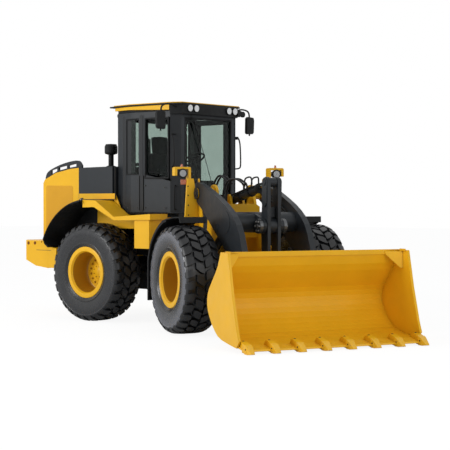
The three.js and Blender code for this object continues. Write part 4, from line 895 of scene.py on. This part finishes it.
class LOADER_OT_cab_trim(Piece):
    """Window seals, seams, pillars, handles, wipers and mirrors of the cab, and the plates under it"""
    bl_idname = "loader.cab_trim"
    bl_label = "Cab trim"

    def execute(self, context):
        self.seals()
        self.pillars()
        self.handles()
        self.mirrors()
        return {"FINISHED"}

    def seals(self):
        bm = bmesh.new()
        ring(bm, (-0.65, -0.15, 2.15, 3.06), 0.022, -0.716, -0.65, "XZ")
        ring(bm, (-1.06, -0.765, 2.21, 3.06), 0.022, -0.7, -0.64, "XZ")
        ring(bm, (-1.19, -0.99, 2.21, 3.06), 0.018, 0.63, 0.69, "XZ")
        ring(bm, (-0.53, 0.53, 1.8, 3.06), 0.024, -0.03, 0.004, "YZ")
        ring(bm, (-0.48, 0.48, 2.26, 3.06), 0.024, -1.284, -1.24, "YZ")
        keep(bm, "window_seals", "rear", "black_plastic", bevel=0.004)
        bm = bmesh.new()
        ring(bm, (-0.82, -0.26, 1.9, 3.03), 0.02, 0.65, 0.722, "XZ")
        keep(bm, "door_seal", "door", "black_plastic", bevel=0.004)
        panes = bmesh.new()
        slab(panes, [(-1.075, -0.668), (-0.93, -0.694), (-0.75, -0.688), (-0.75, -0.68), (-0.93, -0.686),
                     (-1.075, -0.66)], 2.195, 3.075, "XY")
        slab(panes, [(-1.2, 0.64), (-0.98, 0.684), (-0.98, 0.676), (-1.2, 0.632)], 2.195, 3.075, "XY")
        keep(panes, "quarter_panes", "rear", "cab_glass")

    def pillars(self):
        bm = bmesh.new()
        skin = 0.006
        for side in (-1, 1):
            for x, wide in ((-0.715, 0.068), (-1.105, 0.06)):
                y = 0.72 - abs(x + 0.93) * (0.05 if x > -0.93 else 0.2)
                low, high = sorted((side * (y - 0.004), side * (y + skin)))
                if side < 0 or x < -1:
                    block(bm, x - wide / 2, x + wide / 2, low, high, 1.655, 3.1)
            slab(bm, [(-0.146, side * 0.683), (0.004, side * 0.601), (0.01, side * 0.612),
                      (-0.14, side * 0.694)], 1.66, 3.1, "XY")
        block(bm, -1.07, -0.868, -0.69, -0.672, 2.205, 3.065)
        slab(bm, [(-0.672, 2.15), (-0.128, 2.15), (-0.128, 2.12), (-0.672, 2.225)], -0.708, -0.694)
        keep(bm, "pillar_skins", "rear", "black_paint", bevel=0.004)
        bm = bmesh.new()
        for x in (-0.756, -0.674):
            block(bm, x - 0.002, x + 0.002, -0.7235, -0.7, 1.68, 2.2)
        for x, z in ((-0.8, 1.72), (-0.8, 2.12), (-0.635, 1.72), (-0.635, 2.05), (-0.24, 1.72), (-0.24, 2.02),
                     (-1.02, 1.72)):
            bolt(bm, (x, -0.7135 if x > -0.93 else -0.7, z), (0, -1, 0), 0.007, 0.005)
        block(bm, -1.2, -0.16, -0.7, -0.6, 1.63, 1.644)
        keep(bm, "cab_seams", "rear", "dark_steel")
        bm = bmesh.new()
        slab(bm, [(-1.76, 1.4), (-0.88, 1.4), (-0.88, 1.52), (-1.25, 1.715), (-1.76, 1.72)], 0.61, 0.63)
        slab(bm, [(-1.3, 1.617), (-1.1, 1.617), (-1.26, 1.909), (-1.3, 1.93)], 0.704, 0.716)
        mirror_all(bm)
        keep(bm, "rear_side_plates", "rear", "yellow_paint", bevel=0.003)

    def handles(self):
        bm = bmesh.new()
        for side in (-1, 1):
            y = side * 0.75
            pipe(bm, [(-0.075, side * 0.655, 2.8), (-0.06, y, 2.795), (-0.028, y, 2.74), (-0.012, y, 2.64),
                      (-0.006, y, 2.38), (-0.045, y, 2.325), (-0.075, side * 0.655, 2.318)], 0.011)
        pipe(bm, [(-0.05, -0.665, 2.04), (-0.046, -0.7, 2.02), (-0.046, -0.7, 1.72), (-0.05, -0.665, 1.7)],
             0.01)
        block(bm, -0.115, -0.035, 0.7, 0.735, 2.77, 2.815)
        keep(bm, "grab_handles", "rear", "black_plastic")
        bm = bmesh.new()
        pipe(bm, [(0.014, -0.401, 3.1), (0.022, -0.17, 2.61), (0.02, 0.1, 1.96)], 0.0045, 8)
        pipe(bm, [(0.018, -0.33, 2.98), (0.022, -0.19, 2.65)], 0.007, 8)
        rod(bm, (-0.01, 0.104, 1.945), (0.035, 0.104, 1.945), 0.028)
        pipe(bm, [(-1.29, 0.1, 2.3), (-1.296, 0.02, 2.85)], 0.008, 8)
        keep(bm, "wipers", "rear", "black_plastic")
        bm = bmesh.new()
        grip = [(-0.64, 0.712, 2.02), (-0.6, 0.748, 2.02), (-0.5, 0.748, 2.02), (-0.46, 0.712, 2.02)]
        pipe(bm, grip, 0.011)
        block(bm, -0.3, -0.235, 0.695, 0.722, 1.96, 2.08)
        keep(bm, "door_handle", "door", "black_plastic", bevel=0.003)

    def mirrors(self):
        for name, side in SIDES:
            bm = bmesh.new()
            head = [(0.912, 2.88), (0.935, 2.862), (1.06, 2.866), (1.086, 2.89), (1.096, 3.08), (1.08, 3.125),
                    (0.95, 3.134), (0.918, 3.11)]
            slab(bm, head, -0.062, -0.012, "YZ")
            pipe(bm, [(-0.04, 0.64, 3.19), (-0.03, 0.78, 3.235), (-0.03, 0.92, 3.225), (-0.034, 0.985, 3.18),
                      (-0.037, 1, 3.06)], 0.013)
            rod(bm, (-0.037, 1, 2.87), (-0.037, 1, 2.835), 0.012)
            to_side(bm, side)
            keep(bm, f"mirror_{name}_shell", "rear", "black_plastic", replaces=[f"mirror_{name}"], bevel=0.01)
            bm = bmesh.new()
            slab(bm, [(0.93, 2.89), (1.07, 2.89), (1.078, 3.075), (1.068, 3.108), (0.948, 3.116),
                      (0.93, 3.098)], -0.065, -0.0605, "YZ")
            to_side(bm, side)
            keep(bm, f"mirror_{name}_glass", "rear", "mirror_glass")


class LOADER_OT_inside(Piece):
    """Seat, armrests, console and steering column in the cab"""
    bl_idname = "loader.inside"
    bl_label = "Cab inside"

    def execute(self, context):
        bm = bmesh.new()
        crowned(bm, -1.08, -0.56, -0.255, 0.255, 1.93, 2.085)
        lean = Matrix.Rotation(math.radians(-6), 4, "Y")
        for box in ((-1.06, -0.91, -0.245, 0.245, 2.05, 2.56), (-1.01, -0.89, -0.132, 0.132, 2.53, 2.81)):
            verts = crowned(bm, *box)
            bmesh.ops.rotate(bm, cent=(-1.05, 0, 2.05), matrix=lean, verts=verts)
        seat = keep(bm, "seat_pads", "rear", "seat_cloth", replaces=["seat"], sharp=70)
        bm = bmesh.new()
        block(bm, -1.01, -0.62, -0.2, 0.2, 1.692, 1.9)
        block(bm, -1.05, -0.59, -0.235, 0.235, 1.9, 1.945)
        for side in (-1, 1):
            low, high = sorted((side * 0.275, side * 0.35))
            block(bm, -1, -0.64, low, high, 2.2, 2.25)
            block(bm, -0.96, -0.9, low, high, 1.93, 2.205)
        block(bm, -1.18, -0.56, -0.6, -0.37, 1.692, 2.12)
        pipe(bm, [(-0.64, -0.42, 2.12), (-0.63, -0.425, 2.24)], 0.014)
        rod(bm, (-0.63, -0.425, 2.23), (-0.628, -0.425, 2.3), 0.024, 20)
        keep(bm, "seat_base", "rear", "black_plastic", bevel=0.008)
        bm = bmesh.new()
        slab(bm, [(-0.1, 1.692), (-0.26, 1.692), (-0.32, 2.02), (-0.3, 2.13), (-0.16, 2.13), (-0.09, 2.06)],
             -0.3, 0.3)
        rod(bm, (-0.2, 0, 2.1), (-0.325, 0, 2.43), 0.04)
        keep(bm, "steering_column_shroud", "rear", "black_plastic", bevel=0.01)
        bm = bmesh.new()
        turns = [math.pi * k / 6 for k in range(12)]
        grip = [(0.182 + 0.015 * math.cos(turn), 0.015 * math.sin(turn)) for turn in turns]
        lathe(bm, grip, (0, 0, 0), "Z", 64)
        for k in range(3):
            angle = 2 * math.pi * k / 3
            rod(bm, (0, 0, -0.012), (0.18 * math.cos(angle), 0.18 * math.sin(angle), 0), 0.011, 10)
        rod(bm, (0, 0, -0.03), (0, 0, 0.012), 0.045)
        place = Matrix.Translation((-0.32, 0, 2.45)) @ Matrix.Rotation(math.radians(-28), 4, "Y")
        bm.transform(place)
        keep(bm, "steering_wheel", "rear", "black_plastic", replaces=["steering_column"])
        return {"FINISHED"}


# ---- hood and rear

REAR_HUB = (-1.425, 0.745)


class LOADER_OT_hood(Piece):
    """Side panels, bands, latches and seams of the hood, and the counterweight's bolts"""
    bl_idname = "loader.hood"
    bl_label = "Hood"

    def execute(self, context):
        panels, bands, dark, rust = bmesh.new(), bmesh.new(), bmesh.new(), bmesh.new()
        arch = degrees_arc(REAR_HUB, 1.19, 139, 153, 8)
        outline = ([(-2.826, 2.045), (-2.8, 2.068), (-2.215, 2.06), (-2.19, 2.035), (-2.19, 1.66)]
                   + [(x, z) for x, z in arch if x < -2.2] + [(-2.56, 1.29), (-2.826, 1.29)])
        slab(panels, outline, 0.747, 0.7535)
        slab(bands, [(-2.046, 1.846), (-1.243, 1.846), (-1.243, 1.936), (-2.046, 1.936)], 0.745, 0.7545)
        slab(bands, [(-2.42, 0.776), (-2.215, 0.776), (-2.215, 1.08), (-2.3, 1.096), (-2.42, 1.19)],
             0.62, 1.079)
        for x in (-1.242, -2.05):
            block(dark, x - 0.003, x + 0.003, 0.735, 0.752, 1.85, 2.345)
        block(dark, -2.046, -1.243, 0.744, 0.7555, 1.844, 1.85)
        block(dark, -2, -1.95, 0.75, 0.768, 1.822, 1.868)
        block(dark, -2.68, -2.34, 1.074, 1.0815, 1.046, 1.052)
        for x, z, r in ((-2.874, 1.155, 0.027), (-2.718, 1.158, 0.027), (-2.557, 1.178, 0.012)):
            rod(rust, (x, 1.072, z), (x, 1.084, z), r, 24)
            rod(rust, (x, 1.08, z), (x, 1.092, z), r * 0.6, 6)
        for bm in (panels, bands, dark, rust):
            mirror_all(bm)
        keep(panels, "hood_side_panels", "rear", "shaded_yellow", bevel=0.003)
        keep(bands, "hood_bands", "rear", "yellow_paint", bevel=0.002)
        keep(dark, "hood_seams", "rear", "dark_steel")
        keep(rust, "counterweight_bolts", "rear", "rust_steel", bevel=0.002)
        bm = bmesh.new()
        lip = degrees_arc(REAR_HUB, 1.1, 98, 154, 28) + [(-2.375, 1.15), (-2.3, 1.1)]
        inner = degrees_arc(REAR_HUB, 1.078, 98, 154, 28) + [(-2.358, 1.164), (-2.292, 1.122)]
        for k in range(len(lip) - 1):
            slab(bm, [lip[k], lip[k + 1], inner[k + 1], inner[k]], 1.15, 1.186)
        for k in range(28, len(lip) - 1):
            slab(bm, [lip[k], lip[k + 1], inner[k + 1], inner[k]], 0.62, 1.15)
        bmesh.ops.remove_doubles(bm, verts=bm.verts, dist=1e-5)
        mirror_all(bm)
        keep(bm, "rear_fender_lips", "rear", "black_plastic", sharp=30)
        bm = bmesh.new()
        x = -1.02
        while x < -0.17:
            slab(bm, [(x, 0.712), (x + 0.016, 0.712), (x + 0.016, 0.742), (x, 0.742)], 1.628, 1.652, "XY")
            x += 0.032
        mirror_all(bm)
        keep(bm, "step_grips", "rear", "black_plastic")
        return {"FINISHED"}


# ---- front fenders

FENDER_LINE = ((0.63, 0.41), (0.63, 0.9), (0.649, 1.026), (0.766, 1.247), (0.994, 1.44), (1.253, 1.56),
               (1.425, 1.6), (1.53, 1.602), (1.553, 1.52))


class LOADER_OT_front_fenders(Piece):
    """Bent front fenders with a rolled outer edge, a tapered front corner and a bracket"""
    bl_idname = "loader.front_fenders"
    bl_label = "Front fenders"

    def execute(self, context):
        line = [tuple(p.xz) for p in smooth_line([(x, 0, z) for x, z in FENDER_LINE[1:7]], 4)]
        line = [FENDER_LINE[0]] + line + list(FENDER_LINE[7:])
        for name, side in SIDES:
            bm = bmesh.new()
            sweep(bm, line, -0.018, 0.7, 1.2)
            sweep(bm, line, -0.04, 1.196, 1.22)
            cut = Vector((0.14, 0.303, 0)).normalized()
            kept = bmesh.ops.bisect_plane(
                bm, geom=bm.verts[:] + bm.edges[:] + bm.faces[:], plane_co=(1.25, 1.221, 0), plane_no=cut,
                clear_outer=True)
            bmesh.ops.holes_fill(bm, edges=[e for e in kept["geom_cut"] if isinstance(e, bmesh.types.BMEdge)])
            rib = [(0.7, 1.19), (0.994, 1.418), (1.253, 1.538), (1.425, 1.578), (1.425, 1.548),
                   (1.253, 1.508), (1.01, 1.392), (0.735, 1.178)]
            slab(bm, rib, 0.9, 0.914)
            block(bm, 0.613, 0.662, 0.31, 0.745, 0.97, 1.05)
            to_side(bm, side)
            keep(bm, f"front_fender_{name}_skin", "front", "black_plastic", replaces=[f"front_fender_{name}"],
                 bevel=0.003, sharp=30)
        return {"FINISHED"}


# ---- front lamps

LAMP = (0.742, 2.214)


class LOADER_OT_headlights(Piece):
    """Lamp posts with their guards, lamps, reflectors and markers"""
    bl_idname = "loader.headlights"
    bl_label = "Headlights"

    def execute(self, context):
        for name, side in SIDES:
            bm = bmesh.new()
            slab(bm, [(0.5, 1.3), (0.725, 1.3), (0.725, 1.6), (0.69, 2.14), (0.59, 2.14), (0.5, 1.6)],
                 0.81, 0.842, "YZ")
            slab(bm, [(0.81, 1.3), (0.99, 1.3), (0.99, 1.56), (0.845, 2.14), (0.81, 2.14)], 0.5, 0.516)
            slab(bm, [(0.865, 2.18), (0.865, 2.29), (0.85, 2.305), (0.63, 2.305), (0.615, 2.29),
                      (0.615, 2.13), (0.655, 2.13), (0.655, 2.272), (0.825, 2.272), (0.825, 2.18)],
                 0.7, 0.8, "YZ")
            to_side(bm, side)
            keep(bm, f"headlight_{name}_post", "front", "yellow_paint", replaces=[f"headlight_{name}"],
                 bevel=0.004)
            shell, front, plates = bmesh.new(), bmesh.new(), bmesh.new()
            rod(shell, (0.69, *LAMP), (0.79, *LAMP), 0.045, 32, 0.068)
            rod(shell, (0.785, *LAMP), (0.806, *LAMP), 0.068, 32)
            rod(front, (0.8, *LAMP), (0.812, *LAMP), 0.05, 32)
            rod(front, (0.806, *LAMP), (0.818, *LAMP), 0.016, 20)
            block(plates, 0.8, 0.812, 0.692, 0.778, 2.054, 2.126)
            for z in (1.42, 1.62, 1.76, 1.9, 2.03):
                bolt(shell, (0.842, 0.68 - (2.03 - z) * 0.02, z), (1, 0, 0), 0.007, 0.006)
            rod(plates, (0.76, 0.742, 2.3), (0.76, 0.742, 2.345), 0.02, 20, 0.012)
            for bm in (shell, front, plates):
                to_side(bm, side)
            keep(shell, f"headlight_{name}_shell", "front", "black_plastic", bevel=0.002)
            keep(front, f"headlight_{name}_lens", "front", "lamp_lens", bevel=0.003)
            keep(plates, f"headlight_{name}_reflector", "front", "red_lens", bevel=0.002)
        return {"FINISHED"}


# ---- linkage

BOOM_PIN, CROSS_TUBE = (0.88, 1.93), (1.85, 1.53)
HEAD_PIN, MIDDLE_PIN, FOOT_PIN = (2.165, 2.072), (2.135, 1.48), (2.152, 0.56)


def bolt_circle(bm, at, y, radius, total, start, size, height):
    """Bolts round a pin that runs across the machine."""
    for k in range(total):
        angle = start + 2 * math.pi * k / total
        place = (at[0] + radius * math.cos(angle), y, at[1] + radius * math.sin(angle))
        bolt(bm, place, (0, 1, 0), size, height)


class LOADER_OT_linkage(Piece):
    """Bellcrank plates, pin covers, hoses, pipes and bosses on the boom and the front frame"""
    bl_idname = "loader.linkage"
    bl_label = "Linkage"

    def execute(self, context):
        bm = bmesh.new()
        pin(bm, BOOM_PIN, 0.082, 0.57, 0.582, 40)
        pin(bm, BOOM_PIN, 0.04, 0.58, 0.594, 32)
        mirror_all(bm)
        keep(bm, "boom_pin_covers", "front", "charcoal_paint", bevel=0.004)
        bm = bmesh.new()
        bolt_circle(bm, BOOM_PIN, 0.581, 0.06, 4, math.pi / 4, 0.008, 0.008)
        mirror_all(bm)
        keep(bm, "boom_pin_bolts", "front", "dark_steel")
        bm = bmesh.new()
        bolt_circle(bm, MIDDLE_PIN, 0.206, 0.068, 6, 0, 0.009, 0.01)
        pin(bm, MIDDLE_PIN, 0.03, 0.204, 0.212)
        mirror_all(bm)
        self.bellcrank()
        keep(bm, "bellcrank_pin_bolts", "bellcrank_pin", "pin_steel")
        bm = bmesh.new()
        slab(bm, [(-0.3, 1.3), (0.3, 1.3), (0.3, 1.74), (0.24, 1.78), (-0.24, 1.78), (-0.3, 1.74)],
             1.14, 1.16, "YZ")
        keep(bm, "front_frame_web", "front", "yellow_paint", bevel=0.003)
        self.hoses()
        self.boom_details()
        return {"FINISHED"}

    def bellcrank(self):
        """Two thick plates, widest at the middle pin, with cheeks on their upper half."""
        bm = bmesh.new()
        slab(bm, taper(MIDDLE_PIN, 0.11, HEAD_PIN, 0.074), 0.053, 0.099)
        slab(bm, taper(MIDDLE_PIN, 0.11, FOOT_PIN, 0.072), 0.053, 0.099)
        slab(bm, taper((2.152, 1.81), 0.068, HEAD_PIN, 0.064), 0.09, 0.118)
        pin(bm, HEAD_PIN, 0.046, 0.118, 0.128)
        pin(bm, FOOT_PIN, 0.046, 0.099, 0.112)
        mirror_all(bm)
        block(bm, 2.12, 2.15, -0.056, 0.056, 1.6, 1.74)
        pin(bm, MIDDLE_PIN, 0.1, -0.056, 0.056, 40)
        keep(bm, "bellcrank_plates", "bellcrank", "charcoal_paint", replaces=["bellcrank"], bevel=0.004)
        bm = bmesh.new()
        pin(bm, HEAD_PIN, 0.0635, -0.0515, 0.0515, 40)
        keep(bm, "tilt_rod_eye", "tilt_rod", "charcoal_paint", bevel=0.003)

    def hoses(self):
        bm = bmesh.new()
        for shift in (0, 0.05):
            pipe(bm, [(0.52, -0.24 + shift, 1.64), (0.64, -0.24 + shift, 1.9), (0.72, -0.22 + shift, 2.08),
                      (0.84, -0.2 + shift, 2.18), (0.98, -0.18 + shift, 2.15), (1.04, -0.12 + shift, 2.06)],
                 0.015)
            pipe(bm, [(0.56, 0.28 - shift, 1.56), (0.74, 0.26 - shift, 1.78), (0.9, 0.22 - shift, 2.01),
                      (1, 0.15 - shift, 2.07)], 0.015)
        for y in (-0.25, -0.2):
            pipe(bm, [(1.09, y, 1.68), (1.11, y, 1.81), (1.13, y, 1.98), (1.24, y + 0.02, 2.11),
                      (1.44, y + 0.05, 2.125), (1.6, y + 0.08, 2.06)], 0.014)
        for s in (-1, 1):
            pipe(bm, [(0.48, s * 0.3, 1.1), (0.56, s * 0.31, 1.18), (0.66, s * 0.33, 1.02)], 0.016)
        keep(bm, "front_hoses", "front", "hose_rubber")
        bm = bmesh.new()
        for x in (0.92, 1.22, 1.52, 1.78):
            z = 1.852 + (x - 0.972) * 0.171
            rod(bm, (x - 0.015, 0, z), (x + 0.015, 0, z + 0.005), 0.07, 32)
        for s in (1, -1):
            pipe(bm, [(0.99, s * 0.076, 1.9), (1.2, s * 0.086, 1.93), (1.6, s * 0.086, 2),
                      (1.74, s * 0.07, 2.02)], 0.013)
            pipe(bm, [(1.4, s * 0.05, 2.02), (1.42, s * 0.055, 2.12), (1.52, s * 0.055, 2.15),
                      (1.62, s * 0.055, 2.14), (1.64, s * 0.05, 2.05)], 0.011)
        keep(bm, "tilt_pipes", "tilt_barrel", "black_plastic")

    def boom_details(self):
        bm = bmesh.new()
        for y in (-0.558, 0.558):
            low, high = sorted((y, y * 0.985))
            pin(bm, CROSS_TUBE, 0.155, low, high, 48)
            pin(bm, (1.55, 1.45), 0.06, low, high, 32)
        keep(bm, "boom_side_bosses", "boom", "charcoal_paint", bevel=0.004)
        bm = bmesh.new()
        for y in (-0.44, 0.44):
            pipe(bm, [(0.98, y, 1.93), (1.25, y, 1.86), (1.56, y, 1.74), (1.76, y, 1.64)], 0.014)
            pipe(bm, [(0.98, y * 0.92, 1.93), (1.25, y * 0.92, 1.85), (1.56, y * 0.92, 1.72),
                      (1.74, y * 0.92, 1.64)], 0.014)
        keep(bm, "boom_pipes", "boom", "black_plastic")


# ---- finishes of the carried nodes

# A star stands for the right and the left one.
NODE_FINISHES = {
    "yellow_paint": "counterweight hood_rear front_frame walkway_* cab_roof cutting_edge bucket headlight_*",
    "charcoal_paint": "rear_frame hood_front hood_rail_* rear_grille cab_frame door_left boom bellcrank "
                      "bucket_link engine rear_axle front_axle tilt_barrel lift_barrel_* steer_barrel_*",
    "black_plastic": "precleaner rear_fender_* mirror_* front_fender_* steering_column",
    "dark_steel": "exhaust_stack",
    "charcoal_steel": "bucket_pin_* bellcrank_pin link_pin",
    "chrome_rod": "tilt_rod lift_rod_* steer_rod_*",
    "cab_glass": "windscreen side_glass_right rear_glass door_glass",
    "seat_cloth": "seat",
}


class LOADER_OT_finishes(Piece):
    """Finishes on the nodes that are shown as they are"""
    bl_idname = "loader.finishes"
    bl_label = "Finishes"

    def execute(self, context):
        for finish, names in NODE_FINISHES.items():
            for name in names.split():
                for node in {name.replace("*", side) for side, _ in SIDES}:
                    slots = frame["nodes"][node].data.materials
                    slots.clear()
                    slots.append(finishes()[finish])
        return {"FINISHED"}


# ---- stage

SENSOR = 36
SKY_COLOUR = (0.96, 0.98, 1, 1)
FLOOR_SIZE, FLOOR_GLOW, FLOOR_SHARE = 60, 1.05, 0.86
FILL_SHARE = 0.34


def soft_lamp(name, place, target, size, power):
    lamp = bpy.data.lights.new(name, "AREA")
    lamp.shape = "RECTANGLE"
    lamp.size, lamp.size_y = size
    lamp.energy = power
    holder = bpy.data.objects.new(name, lamp)
    holder.location = place
    holder.rotation_euler = (Vector(target) - Vector(place)).to_track_quat("-Z", "Y").to_euler()
    bpy.context.scene.collection.objects.link(holder)


class LOADER_OT_stage(Piece):
    """Camera, soft lamps, white surroundings and the floor"""
    bl_idname = "loader.stage"
    bl_label = "Stage"

    def execute(self, context):
        scene, s = context.scene, context.scene.loader_stage
        camera = bpy.data.cameras.new("Camera")
        camera.lens, camera.sensor_width = s.lens, SENSOR
        camera.clip_end = 200
        holder = bpy.data.objects.new("Camera", camera)
        holder.location = s.camera
        holder.rotation_euler = (math.pi / 2 - s.climb, 0, s.bearing)
        scene.collection.objects.link(holder)
        scene.camera = holder
        scene.view_settings.view_transform = "Standard"
        self.surroundings(s.sky)
        soft_lamp("Key", (-7, -13, 6), (0, 0, 1), (5, 5), s.key)
        soft_lamp("Fill", (13, -5, 5), (1, 0, 1.4), (6, 5), s.key * FILL_SHARE)
        self.floor()
        return {"FINISHED"}

    def surroundings(self, strength):
        """Pure white where it is seen or mirrored, plainer where it lights."""
        world = bpy.data.worlds.new("Surroundings")
        bpy.context.scene.world = world
        world.use_nodes = True
        nodes = Nodes(world.node_tree)
        seen = nodes.tree.nodes["Background"]
        seen.inputs["Color"].default_value = (1, 1, 1, 1)
        seen.inputs["Strength"].default_value = 1
        lighting = nodes.add("ShaderNodeBackground", Color=SKY_COLOUR, Strength=strength)
        nodes.blend(nodes.rays("Is Camera Ray", "Is Glossy Ray", "Is Transmission Ray"), lighting, seen)

    def floor(self):
        bm = bmesh.new()
        bmesh.ops.create_grid(bm, x_segments=1, y_segments=1, size=FLOOR_SIZE)
        mesh = bpy.data.meshes.new("floor")
        bm.to_mesh(mesh)
        bm.free()
        finish = Finish("floor_white")
        finish.colour(finish.mix(finish.noise(0.3), (0.9, 0.9, 0.9), (0.92, 0.92, 0.92)))
        finish.set(Roughness=0.9, Specular_IOR_Level=0.1)
        glow = finish.add("ShaderNodeEmission", Strength=FLOOR_GLOW)
        share = finish.add("ShaderNodeMath", operation="MULTIPLY")
        finish.link(finish.rays("Is Camera Ray"), share.inputs[0])
        share.inputs[1].default_value = FLOOR_SHARE
        finish.blend(share.outputs["Value"], finish.shader, glow)
        mesh.materials.append(finish.material)
        floor = bpy.data.objects.new("floor", mesh)
        bpy.context.scene.collection.objects.link(floor)


# ---- panel and start

PIECES = (LOADER_OT_finishes, LOADER_OT_wheels, LOADER_OT_bucket, LOADER_OT_roof, LOADER_OT_cab_trim,
          LOADER_OT_inside, LOADER_OT_hood, LOADER_OT_front_fenders, LOADER_OT_headlights, LOADER_OT_linkage,
          LOADER_OT_stage)


class LOADER_PT_panel(bpy.types.Panel):
    """Sizes, colours and the pieces in the order that they are built"""
    bl_label = "Wheel loader"
    bl_idname = "LOADER_PT_panel"
    bl_space_type = "VIEW_3D"
    bl_region_type = "UI"
    bl_category = "Loader"

    def draw(self, context):
        for group in (context.scene.loader_sizes, context.scene.loader_paints, context.scene.loader_stage):
            box = self.layout.box()
            for name in group.__annotations__:
                box.prop(group, name)
        for piece in PIECES:
            self.layout.operator(piece.bl_idname)


GROUPS = (("loader_sizes", LoaderSizes), ("loader_paints", LoaderPaints), ("loader_stage", LoaderStage))


def register():
    for _, group in GROUPS:
        bpy.utils.register_class(group)
    for name, group in GROUPS:
        setattr(bpy.types.Scene, name, bpy.props.PointerProperty(type=group))
    for item in (*PIECES, LOADER_PT_panel):
        bpy.utils.register_class(item)


def unregister():
    for item in (LOADER_PT_panel, *reversed(PIECES)):
        bpy.utils.unregister_class(item)
    for name, group in reversed(GROUPS):
        delattr(bpy.types.Scene, name)
        bpy.utils.unregister_class(group)


def main():
    register()
    for piece in PIECES:
        area, name = piece.bl_idname.split(".")
        getattr(getattr(bpy.ops, area), name)()


if __name__ == "__main__":
    main()
